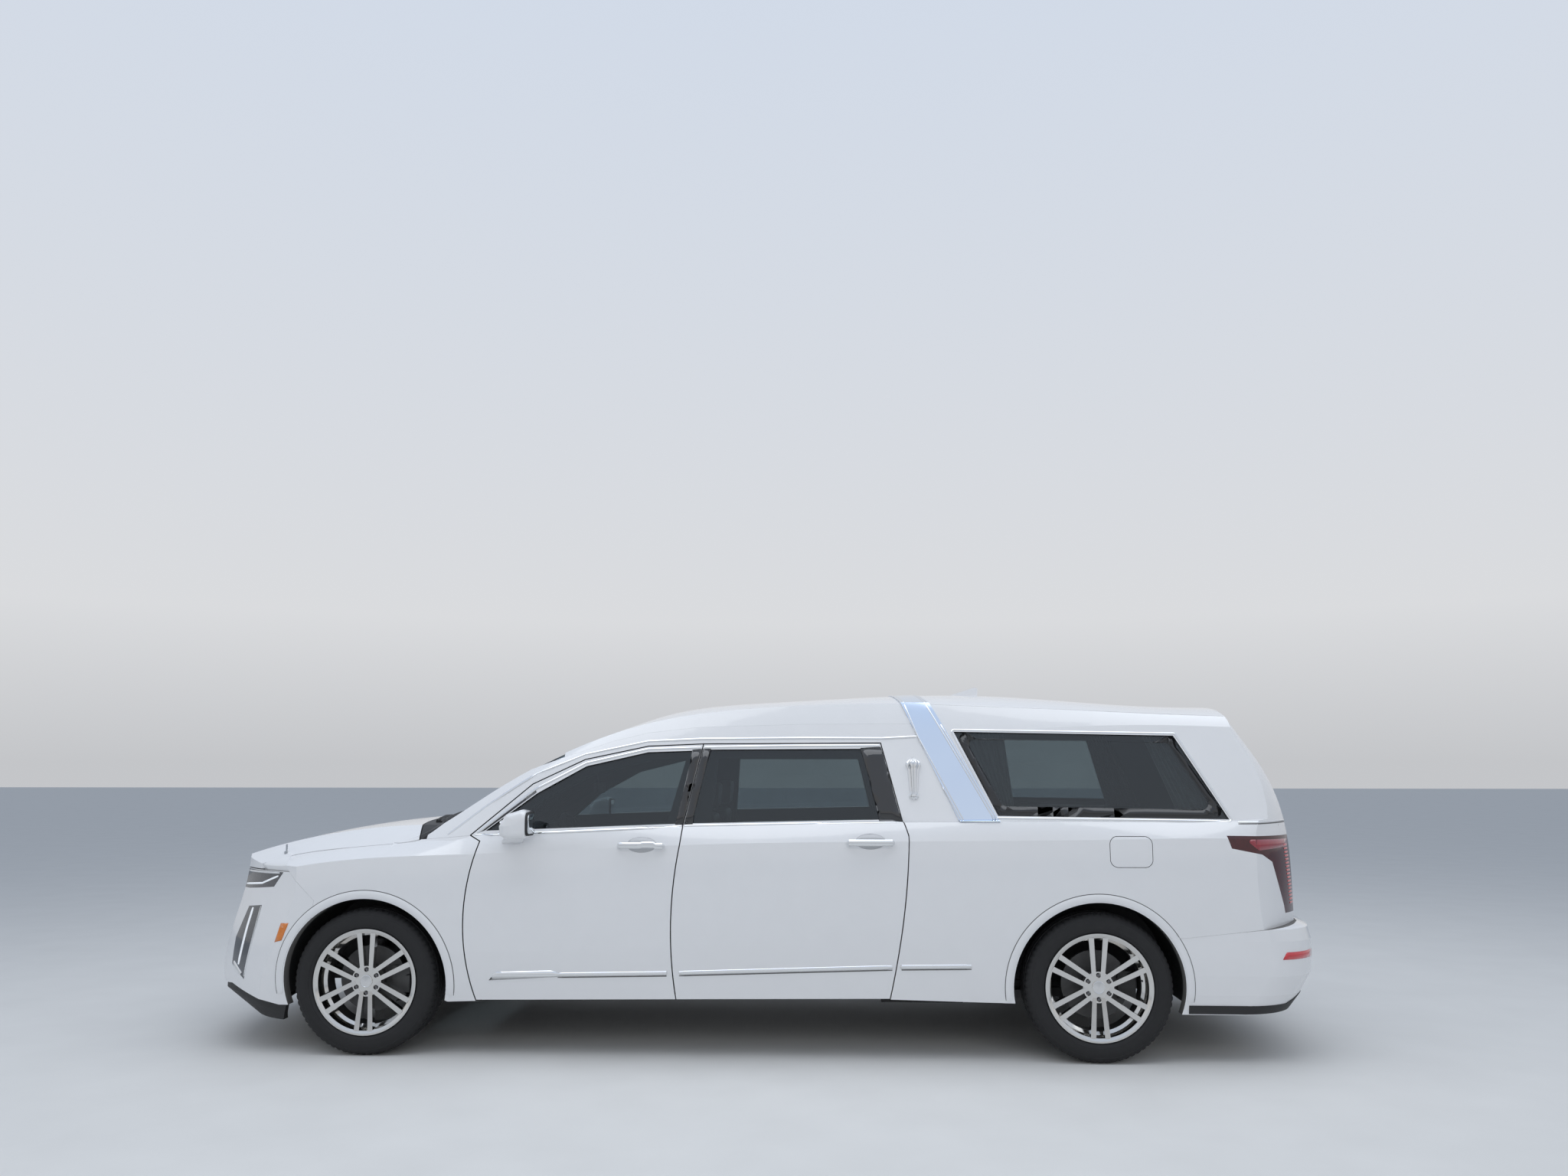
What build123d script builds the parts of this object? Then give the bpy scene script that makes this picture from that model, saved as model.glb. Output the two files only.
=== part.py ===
# Hearse: a raised-roof conversion of a long-wheelbase luxury estate car, in millimetres.
# X runs from the nose to the tail, Y to the car's right, Z up; the origin is on the ground
# under the middle of the car's box. Left is the driver's side, at negative Y.
import os
from math import cos, radians, sin

from build123d import *

os.makedirs("parts", exist_ok=True)

# Overall layout
wheelbase = 3776
front_overhang = 1020
rear_overhang = 1234
overall_length = front_overhang + wheelbase + rear_overhang
front_axle_x = front_overhang - overall_length / 2
rear_axle_x = front_axle_x + wheelbase
wheel_track = 1680
half_track = wheel_track / 2

# Wheels, tyres and brakes
tyre_radius = 374
tyre_width = 235
rim_radius = 271
hub_face_y = 46
hub_radius = 78
spoke_pairs = 6
spoke_width = 27
spoke_depth = 34
spoke_slot = 44
lug_circle_radius = 60
lug_radius = 13
centre_cap_radius = 33
disc_radius = 172
disc_thickness = 30
spindle_radius = 22
running_clearance = 0.1

# Body shell
arch_radius = 430
shut_gap = 6
seam = 0.6
glass_gap = 0.3
door_thickness = 62
panel_thickness = 30
frame_gap = 6
frame_depth = 50
glass_inset = 7
glass_thickness = 6
band_proud = 6
sill_bottom_z = 285
rear_door_bottom_z = 700
rear_door_top_z = 1730
floor_z = 300
floor_thickness = 40
side_reach = 1300
shoulder_y = 975
shoulder_z = 1080
tumblehome = 0.32
edge_lean = 0.25


# Lower body stations from nose to tail, half sections as (y, z) pairs:
# x, sill, lower crease, shoulder, belt or wing top, bonnet crease, crown z
lower_stations = [
    (-3060, (900, 200), (940, 500), (935, 800), (800, 850), (640, 865), 875),
    (-2700, (905, 200), (950, 520), (950, 890), (828, 930), (655, 1030), 1045),
    (-2250, (912, 200), (968, 530), (968, 985), (836, 1042), (670, 1130), 1148),
    (-1800, (915, 200), (972, 532), (975, 1022), (850, 1088), (690, 1170), 1188),
    (-1400, (918, 200), (974, 534), (978, 1037), (930, 1129), (700, 1168), 1190),
    (-400, (920, 200), (976, 571), (984, 1083), (938, 1173), (700, 1200), 1215),
    (800, (920, 200), (976, 614), (984, 1107), (938, 1199), (700, 1225), 1240),
    (1800, (918, 200), (974, 620), (982, 1118), (936, 1206), (700, 1230), 1245),
    (2500, (905, 200), (962, 622), (970, 1125), (926, 1210), (700, 1235), 1250),
    (3060, (880, 200), (935, 622), (940, 1130), (900, 1212), (700, 1235), 1250),
]
lower_bulges = (0, 4, 10, 5, 6)

# Greenhouse and raised roof stations: x, foot y, door-top edge, roof crease, crown z
greenhouse_foot_z = 1000
upper_stations = [
    (-1900, 905, (885, 1062), (830, 1085), 1118),
    (-1610, 945, (900, 1098), (812, 1205), 1286),
    (-1387, 957, (868, 1281), (792, 1352), 1415),
    (-1137, 960, (838, 1447), (775, 1497), 1553),
    (-886, 961, (818, 1544), (762, 1612), 1655),
    (-550, 962, (806, 1611), (745, 1722), 1781),
    (-90, 962, (801, 1626), (738, 1792), 1852),
    (830, 962, (797, 1640), (732, 1825), 1900),
    (1700, 960, (784, 1698), (728, 1790), 1876),
    (2750, 950, (776, 1686), (720, 1745), 1828),
    (3060, 940, (766, 1680), (712, 1720), 1805),
]
upper_bulges = (0, 6, 4)

# Plan envelope that rounds nose and tail: z, nose x, tail x on the centre line
tail_x = overall_length / 2
envelope_stations = [
    (100, -tail_x + 70, 2925),
    (300, -tail_x, 2930),
    (520, -tail_x, 2932),
    (820, -tail_x + 83, 2930),
    (1110, -tail_x + 115, 2916),
    (1500, -tail_x + 135, 2785),
    (1950, -tail_x + 155, 2590),
]


def half_section(x, side, bulges, crown_z, inset, top_from):
    """Closed cross-section at x; points from top_from on also drop by the inset."""
    points = [(y - inset, z - inset if i >= top_from else z) for i, (y, z) in enumerate(side)]
    with BuildSketch(Plane.YZ.offset(x)) as section:
        with BuildLine():
            for hand in (1, -1):
                for (y0, z0), (y1, z1), bulge in zip(points, points[1:], bulges[1:]):
                    run = Vector(y1 - y0, z1 - z0)
                    middle = Vector((y0 + y1) / 2, (z0 + z1) / 2)
                    middle += Vector(run.Y, -run.X) * (bulge / run.length)
                    ThreePointArc((hand * y0, z0), (hand * middle.X, middle.Y), (hand * y1, z1))
            top_y, top_z = points[-1]
            ThreePointArc((-top_y, top_z), (0, crown_z - inset), (top_y, top_z))
            Line((-points[0][0], points[0][1]), (points[0][0], points[0][1]))
        make_face()
    return section.sketch.face()


def lower_body(inset):
    sections = [
        half_section(x, side, lower_bulges, crown, inset, 3) for x, *side, crown in lower_stations
    ]
    with BuildPart() as body:
        loft(sections=sections)
    return body.part


def greenhouse(inset):
    sections = []
    for x, foot_y, edge, crease, crown in upper_stations:
        side = [(foot_y, greenhouse_foot_z - inset), edge, crease]
        sections.append(half_section(x, side, upper_bulges, crown, inset, 1))
    with BuildPart() as body:
        loft(sections=sections)
    return body.part


def plan_outline(nose_x, tail_end_x, half_width):
    """Plan view of the car with its rounded nose and tail corners."""
    nose = [(0, 0), (155, 700), (340, 860), (640, half_width)]
    tail = [(0, 0), (100, 750), (215, 885), (420, half_width)]
    with BuildLine() as outline:
        ThreePointArc((nose_x + 155, -700), (nose_x, 0), (nose_x + 155, 700))
        ThreePointArc((tail_end_x - 100, 750), (tail_end_x, 0), (tail_end_x - 100, -750))
        for hand in (1, -1):
            corner = [(nose_x + dx, hand * y) for dx, y in nose[1:]]
            ThreePointArc(*corner)
            rear_corner = [(tail_end_x - dx, hand * y) for dx, y in tail[1:]]
            ThreePointArc(*rear_corner)
            Line(corner[-1], rear_corner[-1])
    return outline.line


def envelope(inset):
    sections = []
    for z, nose_x, tail_end_x in envelope_stations:
        with BuildSketch(Plane.XY.offset(z)) as section:
            with BuildLine():
                add(plan_outline(nose_x + inset, tail_end_x - inset, 1000))
            make_face()
        sections.append(section.sketch.face())
    with BuildPart() as body:
        loft(sections=sections)
    return body.part


def hull(inset):
    """The whole body volume, its skin moved inwards by the inset."""
    with BuildPart() as body:
        add(lower_body(inset))
        add(greenhouse(inset))
        add(envelope(inset), mode=Mode.INTERSECT)
    return body.part


def layer(outer, inner):
    with BuildPart() as body:
        add(outer)
        add(inner, mode=Mode.SUBTRACT)
    return body.part


def outline_face(steps, grow=0):
    """Closed face from steps: a corner (x, z), or an arc (through x, through z, x, z)."""
    with BuildSketch() as face:
        with BuildLine():
            last = steps[0]
            for step in steps[1:]:
                if len(step) == 4:
                    ThreePointArc(last, step[:2], step[2:])
                else:
                    Line(last, step)
                last = step[-2:]
            if last != steps[0]:
                Line(last, steps[0])
        make_face()
        if grow:
            offset(amount=grow)
    return face.sketch


def side_prism(steps, grow=0, near=400, far=side_reach):
    """Prism of a side-view outline on the car's left, between two distances from the middle."""
    with BuildPart() as prism:
        with BuildSketch(Plane.XZ.offset(near)):
            add(outline_face(steps, grow))
        extrude(amount=far - near)
    return prism.part


def skin_y(z):
    """Rough distance of the body side from the middle at a height."""
    return shoulder_y - max(0, z - shoulder_z) * tumblehome


def door_prism(steps, grow=0, near=400, far=side_reach):
    """Side prism whose edges lean rearwards going out, so that a door swings clear."""
    leaned = []
    for step in steps:
        x, z = step[-2:]
        moved = (x + edge_lean * (near - skin_y(z)), z)
        if len(step) == 4:
            through = (step[0] + edge_lean * (near - skin_y(step[1])), step[1])
            moved = through + moved
        leaned.append(moved)
    with BuildPart() as prism:
        with BuildSketch(Plane.XZ.offset(near)):
            add(outline_face(leaned, grow))
        extrude(amount=(far - near) * (1 + edge_lean**2) ** 0.5, dir=(edge_lean, -1, 0))
    return prism.part


def through_prism(steps, grow=0):
    return side_prism(steps, grow, -side_reach, side_reach)


def plan_prism(steps, low_z, high_z, grow=0):
    with BuildPart() as prism:
        with BuildSketch(Plane.XY.offset(low_z)):
            add(outline_face(steps, grow))
        extrude(amount=high_z - low_z)
    return prism.part


def box_between(low, high):
    size = [b - a for a, b in zip(low, high)]
    centre = Vector(*low) + Vector(*size) / 2
    with BuildPart() as body:
        with Locations(centre):
            Box(*size)
    return body.part


def cylinder_along_y(x, z, radius, low_y, high_y):
    with BuildPart() as body:
        with BuildSketch(Plane.XZ.offset(-high_y)):
            with Locations((x, z)):
                Circle(radius)
        extrude(amount=high_y - low_y)
    return body.part


def combine(base, cuts=(), keeps=(), joins=()):
    """Base with solids added, then kept only inside others, then cut away."""
    with BuildPart() as body:
        add(base)
        for piece in joins:
            add(piece)
        for piece in keeps:
            add(piece, mode=Mode.INTERSECT)
        for piece in cuts:
            add(piece, mode=Mode.SUBTRACT)
    return body.part


def mirrored(piece):
    with BuildPart() as body:
        mirror(piece, about=Plane.XZ)
    return body.part


def write(piece, label):
    piece.label = label
    export_step(piece, f"parts/{label}.step")


def write_pair(left_piece, label):
    write(left_piece, f"{label}_left")
    write(mirrored(left_piece), f"{label}_right")


# Side-view shut lines, shared by the panels on both sides of them, from the bottom up
front_shut = [(-1400, sill_bottom_z), (-1474, 760, -1400, 1100)]
middle_shut = [(-360, sill_bottom_z + 12), (-394, 574, -345, 1150), (-250, 1608)]
rear_shut = [(736, sill_bottom_z + 24), (800, 760, 823, 1134), (693, 1612)]
door_top = [(-545, 1596), (-880, 1525), (-1150, 1395), (-1455, 1128)]
belt_front = (-1400, 1136)
belt_middle = (-345, 1180)
belt_rear = (788, 1202)

front_door_outline = [(-1400, 1100), (-1474, 760, -1400, sill_bottom_z)] + middle_shut + door_top
rear_door_outline = (
    [(-250, 1608), (-345, 1150), (-394, 574, -360, sill_bottom_z + 12)] + rear_shut
)
front_window = [(-1385, 1152), (-380, 1190), (-305, 1572), (-545, 1564), (-872, 1490), (-1125, 1348)]
rear_window = [(-298, 1193), (682, 1214), (590, 1582), (-215, 1578)]

# Landau band in side view: its front and rear edges run on over the roof
band_foot_z = 1208
belt_seam_z = 1205
band_outline = [(1091, band_foot_z), (1297, band_foot_z), (939, 1861), (900, 1932), (757, 1932)]
band_middle = [(1194, band_foot_z), (865, 1861), (830, 1932)]
quarter_window = [(1080, 1672), (1292, 1234), (2468, 1219), (2228, 1650)]
roof_crease = [(884, 1823), (1700, 1790), (2500, 1755), (2683, 1730), (3100, 1730)]
roof_seam = [(937, 1716), (285, 1713), (-271, 1698), (-553, 1668), (-738, 1623), (-1000, 1538)]

# Plan-view edge of the bonnet and windscreen, right half, from the nose to the header
bonnet_edge = [(-2760, 700), (-2700, 812), (-2250, 832), (-1760, 848)]
bonnet_front_x = -2890
bonnet_rear_x = -1880
bonnet_bottom_z = 942
screen_edge = [(-1640, 812), (-1387, 788), (-1137, 771), (-1005, 764)]
screen_front_x = -1790
lip_bottom_z = 165
lip_half_width = 900
lamp_inner_y = 612
flap_length = 210
flap_height = 152
flap_corner_radius = 38
flap_centre = (1948, 1058)

# The rear door's edges fan out towards the tail, so that its free edge swings clear
rear_gate_x = 2873
rear_gate_half_width = 594
rear_window_half_width = 470
gate_edge_slope = 0.35
gate_lap = 40


def rear_gate_plan(half_width):
    near_y = half_width - (rear_gate_x - 2300) * gate_edge_slope
    far_y = half_width + (3100 - rear_gate_x) * gate_edge_slope
    return [(2300, near_y), (3100, far_y), (3100, -far_y), (2300, -near_y)]


def arch_cut(axle_x, grow=0):
    return cylinder_along_y(axle_x, tyre_radius, arch_radius + grow, -side_reach, side_reach)


outer = hull(0)
door_back = hull(door_thickness)
door_stop = hull(door_thickness + seam)
frame_front = hull(door_thickness + frame_gap)
frame_back = hull(door_thickness + frame_gap + frame_depth)
glass_front = hull(glass_inset)
glass_back = hull(glass_inset + glass_thickness)
panel_back = hull(panel_thickness)
band_front = hull(-band_proud)
band_back = hull(-seam)

door_skin = layer(outer, door_back)
glass_skin = layer(glass_front, glass_back)

# Doors, each with its window cut and its glass
door_gaps = []
for name, outline, window in (
    ("front", front_door_outline, front_window),
    ("rear", rear_door_outline, rear_window),
):
    door = combine(
        door_skin, keeps=[door_prism(outline, -shut_gap / 2)], cuts=[side_prism(window)],
    )
    write_pair(door, f"door_{name}")
    glass = combine(glass_skin, keeps=[side_prism(window, -glass_gap)])
    write_pair(glass, f"door_glass_{name}")
    door_gaps.append(door_prism(outline, shut_gap / 2))

# Plan view of bonnet, windscreen and what lies between the wings
bonnet_outline = (
    bonnet_edge
    + [(bonnet_rear_x, 0, -1760, -848)]
    + [(x, -y) for x, y in reversed(bonnet_edge[:-1])]
    + [(bonnet_front_x, 0, -2760, 700)]
)
between_wings_outline = (
    [(-3200, 812), *bonnet_edge[1:], *screen_edge]
    + [(x, -y) for x, y in reversed([*bonnet_edge[1:], *screen_edge])]
    + [(-3200, -812)]
)
screen_outline = (
    screen_edge
    + [(-940, 764), (-940, -764)]
    + [(x, -y) for x, y in reversed(screen_edge)]
    + [(screen_front_x, 0, *screen_edge[0])]
)
cowl_outline = [
    (-1754, 846), (bonnet_rear_x + shut_gap, 0, -1754, -846), (-1640, -812), (-1640, 812),
]
between_wings = plan_prism(between_wings_outline, 700, 1700, shut_gap / 2)

# Front wings: outside the bonnet's edge, from the bumper line to the front door
wing_outline = [
    (-1300, 1128), (-1300, sill_bottom_z), (-1560, 276), (-2290, 600), (-2265, 793),
    (-2414, 937), (-2470, 996), (-2470, 1060), (-1720, 1104), (-1455, 1128),
]
wing = combine(
    door_skin,
    keeps=[side_prism(wing_outline, -seam / 2)],
    cuts=[between_wings, arch_cut(front_axle_x), door_gaps[0]],
)
write_pair(wing, "wing")

bonnet = combine(
    outer,
    keeps=[plan_prism(bonnet_outline, bonnet_bottom_z, 1400, -shut_gap / 2)],
    cuts=[panel_back],
)
write(bonnet, "bonnet")

# Cowl in front of the windscreen, with the bonnet's two hinge brackets under it
screen_grow = shut_gap / 2 - glass_gap
cowl_panel = combine(
    outer,
    keeps=[plan_prism(cowl_outline, 1000, 1400, screen_grow)],
    cuts=[panel_back, plan_prism(screen_outline, 1000, 1700, shut_gap / 2)],
)
bonnet_hinge_y = 700
bonnet_hinge_x = -1800
with BuildPart() as lowered_back:
    with Locations((0, 0, -seam)):
        add(panel_back)
hinge_brackets = []
for y in (bonnet_hinge_y, -bonnet_hinge_y):
    for block, front_x in ((panel_back, bonnet_hinge_x + 8), (lowered_back.part, bonnet_hinge_x - 50)):
        reach = box_between((front_x, y - 30, 1112), (bonnet_hinge_x + 30, y + 30, 1300))
        hinge_brackets.append(combine(block, keeps=[reach]))
write(combine(cowl_panel, joins=hinge_brackets), "cowl")

# Side frames behind the doors, with the leaves of the door hinges; roof rails above the doors
frame_ring = [
    (-1600, 300), (-1500, 300), (-1500, 420), (780, 440), (780, 300), (900, 300), (900, 1640),
    (-545, 1640), (-900, 1560), (-1180, 1440), (-1600, 1110),
]
front_opening = [
    (-1330, 430), (-470, 440), (-440, 1180), (-350, 1530), (-545, 1520), (-850, 1445),
    (-1120, 1300), (-1330, 1120),
]
rear_opening = [(-270, 440), (660, 450), (720, 760), (720, 1150), (610, 1530), (-180, 1530)]
housing_radius = arch_radius + 4
housing_thickness = 6
frame = combine(
    frame_front,
    keeps=[side_prism(frame_ring)],
    cuts=[
        frame_back, side_prism(front_opening), side_prism(rear_opening),
        arch_cut(front_axle_x, housing_radius + housing_thickness + seam - arch_radius),
    ],
)
rail_outline = [
    (-1455, 1128), (-1150, 1300), (-545, 1500), (500, 1500), (650, belt_seam_z),
    (1194, belt_seam_z), *roof_seam, (-1387, 1400), (-1720, 1200), (-1720, 1104),
]
rail = combine(
    door_skin, keeps=[side_prism(rail_outline, -seam / 2)], cuts=[between_wings, *door_gaps],
)
write_pair(rail, "roof_rail")
# Hinge leaves on the pillars: x, z of the middle of each leaf
hinge_leaf_places = [(-1405, 520), (-1405, 940), (-315, 520), (-315, 940)]
hinge_leaf_size = (64, 84)
hinge_leaf_root_y = 885
with BuildPart() as leaf_prisms:
    with BuildSketch(Plane.XZ.offset(hinge_leaf_root_y)):
        with Locations(*hinge_leaf_places):
            Rectangle(*hinge_leaf_size)
    extrude(amount=side_reach - hinge_leaf_root_y)
leaves = combine(door_stop, keeps=[leaf_prisms.part])
write_pair(combine(frame, joins=[leaves]), "side_frame")

# Raised roof in two shells that meet under the landau band
roof_front_outline = [(937, 1716), (865, 1861), (830, 1980), (-1060, 1980)] + roof_seam[:0:-1]
roof_front = combine(door_skin, keeps=[through_prism(roof_front_outline)])
write(roof_front, "roof_front")
roof_rear_outline = [(865, 1861), (830, 1980), (3100, 1980)] + roof_crease[::-1]
roof_rear = combine(door_skin, keeps=[through_prism(roof_rear_outline, -seam / 2)])
write(roof_rear, "roof_rear")
band = combine(band_front, keeps=[through_prism(band_outline)], cuts=[band_back])
write(band, "landau_band")

# Fixed glass: the windscreen up to the roof, and a window in each rear quarter
quarter_glass = combine(glass_skin, keeps=[side_prism(quarter_window, -glass_gap)])
with BuildPart() as fixed_glass:
    add(combine(
        glass_skin,
        keeps=[plan_prism(screen_outline, 1120, 1700, screen_grow)],
        cuts=[through_prism(roof_front_outline, seam)],
    ))
    add(quarter_glass)
    add(mirrored(quarter_glass))
write(fixed_glass.part, "fixed_glass")

# Rear quarters from the sill to the roof crease, with the fuel flap cut out of the left one
quarter_outline = [
    (650, sill_bottom_z + 24), (650, belt_seam_z), (1194, belt_seam_z), *roof_crease,
    (3100, 694), (2835, 694), (2206, 628), (2000, 628), (1500, 290),
]
lamp_outline = [
    (2431, 1140), (2453, 1076), (2610, 1045), (2672, 1006), (2743, 784), (2752, 742),
    (3100, 742), (3100, 1132),
]
rear_opening_prism = plan_prism(rear_gate_plan(rear_gate_half_width), 640, rear_door_top_z)
quarter = combine(
    door_skin,
    keeps=[side_prism(quarter_outline, -seam / 2)],
    cuts=[
        arch_cut(rear_axle_x), door_gaps[1], rear_opening_prism, side_prism(quarter_window),
        side_prism(lamp_outline, 0, lamp_inner_y),
    ],
)


def flap_prism(clearance, near):
    with BuildPart() as prism:
        with BuildSketch(Plane.XZ.offset(near)):
            with Locations(flap_centre):
                RectangleRounded(
                    flap_length + 2 * clearance, flap_height + 2 * clearance,
                    flap_corner_radius + clearance,
                )
        extrude(amount=side_reach - near)
    return prism.part


flap_x, flap_z = flap_centre
flap_pocket_y = 925
flap_hinge_x = flap_x - flap_length / 2 + 30
with BuildPart() as raised_back:
    with Locations((0, seam, 0)):
        add(panel_back)
flap_hinge = combine(
    raised_back.part,
    keeps=[box_between((flap_hinge_x - 14, -1000, flap_z - 18), (flap_hinge_x + 14, -900, flap_z + 18))],
)
flap_pocket = combine(flap_prism(shut_gap / 2, flap_pocket_y), cuts=[flap_hinge])
write(layer(quarter, flap_pocket), "quarter_left")
write(mirrored(quarter), "quarter_right")
write(combine(outer, keeps=[flap_prism(0, 700)], cuts=[panel_back]), "fuel_flap")
tail_lamp = combine(
    door_skin,
    keeps=[side_prism(lamp_outline, -seam, lamp_inner_y + seam)],
    cuts=[rear_opening_prism],
)
with BuildPart() as tail_lamps:
    add(tail_lamp)
    add(mirrored(tail_lamp))
write(tail_lamps.part, "tail_lamps")

# Rear door, hinged at the left, with its window and the frame that it shuts against
rear_window_prism = plan_prism(rear_gate_plan(rear_window_half_width), 1200, 1600)
rear_door = combine(
    door_skin,
    keeps=[
        plan_prism(
            rear_gate_plan(rear_gate_half_width - shut_gap), rear_door_bottom_z,
            rear_door_top_z - shut_gap,
        )
    ],
    cuts=[rear_window_prism],
)
write(rear_door, "rear_door")
rear_glass_prism = plan_prism(
    rear_gate_plan(rear_window_half_width - glass_gap), 1200 + glass_gap, 1600 - glass_gap,
)
write(combine(glass_skin, keeps=[rear_glass_prism]), "rear_door_glass")
gate_frame = combine(
    door_stop,
    keeps=[plan_prism(rear_gate_plan(rear_gate_half_width + gate_lap), 690, rear_door_top_z + gate_lap)],
    cuts=[
        frame_back,
        plan_prism(rear_gate_plan(rear_gate_half_width - gate_lap), 600, rear_door_top_z - gate_lap),
    ],
)
write(gate_frame, "rear_gate_frame")

# Front bumper skin with its lamps and the grille opening
bumper_outline = [
    (-3100, 300), (-2780, 335), (-2456, 250), (-2290, 250), (-2290, 600), (-2265, 793),
    (-2414, 937), (-3100, 937),
]
head_lamp_outline = [(-3100, 826), (-2722, 833), (-2515, 855), (-2455, 933), (-3100, 933)]
upright_lamp_outline = [(-2700, 742), (-2592, 756), (-2676, 368), (-2787, 436), (-2779, 574)]
lamp_places = [(head_lamp_outline, 500), (upright_lamp_outline, 600)]


def grille_zone(shrink):
    outline = [(430, 900), (520, 760), (330, 420)]
    with BuildPart() as zone:
        with BuildSketch(Plane.YZ.offset(-3200)):
            with BuildLine():
                Polyline(outline + [(-y, z) for y, z in reversed(outline)], close=True)
            make_face()
            if shrink:
                offset(amount=-shrink)
        extrude(amount=500)
    return zone.part


lamp_cuts = [side_prism(outline, 0, near) for outline, near in lamp_places]
front_bumper = combine(
    door_skin,
    keeps=[through_prism(bumper_outline, -seam / 2)],
    cuts=[
        arch_cut(front_axle_x), grille_zone(0), *lamp_cuts, *[mirrored(cut) for cut in lamp_cuts],
    ],
)
write(front_bumper, "front_bumper")
with BuildPart() as headlamps:
    for outline, near in lamp_places:
        lamp = combine(door_skin, keeps=[side_prism(outline, -seam, near + seam)])
        add(lamp)
        add(mirrored(lamp))
write(headlamps.part, "headlamps")
grille = combine(panel_back, keeps=[grille_zone(seam)], cuts=[door_back])
write(grille, "grille")

# Lower lip under the front bumper: z and how far the nose stands back
lip_stations = [(165, 190), (300, 10), (340, 10)]
lip_wall = 110


def lip_block(inset):
    with BuildPart() as block:
        for z, nose_inset in lip_stations:
            with BuildSketch(Plane.XY.offset(z)):
                with BuildLine():
                    add(plan_outline(-tail_x + nose_inset + inset, -1000, lip_half_width - inset))
                make_face()
        loft(ruled=True)
    return block.part


lip_side = [(-2470, 100), (-2420, 250), (-2456, 250), (-2780, 335), (-3100, 300), (-3100, 100)]
front_lip = combine(
    lip_block(0), keeps=[through_prism(lip_side, -seam / 2)], cuts=[lip_block(lip_wall)],
)
write(front_lip, "front_lip")

# Rear bumper: z, end x and half width of its plan sections, hollow behind
bumper_stations = [
    (245, 2880, 930), (343, 2955, 950), (440, tail_x - 8, 962), (520, tail_x, 966),
    (612, tail_x - 1, 968), (672, 2998, 966), (692, 2945, 955),
]
bumper_front_x = 2000


def bumper_block(inset):
    sections = []
    for z, end_x, half_width in bumper_stations:
        x, y = end_x - inset, half_width - inset
        with BuildSketch(Plane.XY.offset(z)) as section:
            with BuildLine():
                ThreePointArc((x - 100, 750), (x, 0), (x - 100, -750))
                for hand in (1, -1):
                    ThreePointArc((x - 100, hand * 750), (x - 190, hand * (y - 75)), (x - 380, hand * y))
                    Line((x - 380, hand * y), (bumper_front_x, hand * y))
                Line((bumper_front_x, -y), (bumper_front_x, y))
            make_face()
        sections.append(section.sketch.face())
    with BuildPart() as body:
        loft(sections=sections, ruled=True)
    return body.part


rear_bumper_side = [(2000, 242), (3100, 242), (3100, 694), (2835, 694), (2206, 628), (2000, 628)]
bumper_inside = bumper_block(door_thickness)
rear_bumper = combine(
    bumper_block(0),
    keeps=[through_prism(rear_bumper_side, -seam / 2)],
    cuts=[bumper_inside, arch_cut(rear_axle_x)],
)
write(rear_bumper, "rear_bumper")

# Wheels: built about the origin with the outer face towards +Y, then placed
bead_drop = 15
bead_clearance = 0.2
# y and drop below the flange's rim
rim_profile = [
    (-108, 0), (-101, 0), (-98, bead_drop), (-68, 17), (-58, 33), (22, 33), (34, 17),
    (98, bead_drop), (101, 0), (108, 0), (108, 9), (100, 23), (36, 25), (26, 41), (-62, 41),
    (-72, 25), (-108, 21),
]
hub_back_y = -40
hub_front_y = hub_face_y + 36
# distance out, offset sideways, y, width, depth
spoke_stations = [
    (52, spoke_slot / 2, hub_face_y + 20, spoke_width - 5, spoke_depth),
    (rim_radius - 22, spoke_slot / 2 + 14, hub_face_y + 40, spoke_width, spoke_depth),
]


def wheel():
    with BuildPart() as spoke:
        for r, sideways, y, width, depth in spoke_stations:
            with BuildSketch(Plane.XY.offset(r)):
                with Locations((sideways, y)):
                    Rectangle(width, depth)
        loft()
        mirror(about=Plane.YZ)
    with BuildPart() as body:
        with BuildSketch(Plane.YZ):
            with BuildLine():
                Polyline([(y, rim_radius - drop) for y, drop in rim_profile], close=True)
            make_face()
        revolve(axis=Axis.Y)
        for radius, start_y, end_y in (
            (hub_radius - 4, hub_back_y, hub_face_y),
            (disc_radius, hub_back_y, hub_back_y + disc_thickness),
            (hub_radius, hub_face_y, hub_front_y),
            (centre_cap_radius, hub_front_y, hub_front_y + 5),
        ):
            with BuildSketch(Plane.XZ.offset(-start_y)):
                Circle(radius)
            extrude(amount=start_y - end_y)
        for turn in range(spoke_pairs):
            add(spoke.part.rotate(Axis.Y, turn * 360 / spoke_pairs))
        with BuildSketch(Plane.XZ.offset(-hub_front_y)):
            with PolarLocations(lug_circle_radius, spoke_pairs, start_angle=90):
                Circle(lug_radius)
        extrude(amount=22, mode=Mode.SUBTRACT)
        with BuildSketch(Plane.XZ.offset(-hub_back_y)):
            Circle(spindle_radius + running_clearance)
        extrude(amount=hub_back_y - hub_face_y - 10, mode=Mode.SUBTRACT)
    return body.part


def tyre():
    """Tyre with straight flanks, tapered under its bead to sit between the rim's flanges."""
    flank = [
        (90, rim_radius - bead_drop + bead_clearance), (tyre_width / 2, 320), (110, 352),
        (84, tyre_radius),
    ]
    with BuildPart() as body:
        with BuildSketch(Plane.YZ):
            with BuildLine():
                Polyline(flank + [(-y, r) for y, r in reversed(flank)], close=True)
            make_face()
        revolve(axis=Axis.Y)
    return body.part


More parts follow.
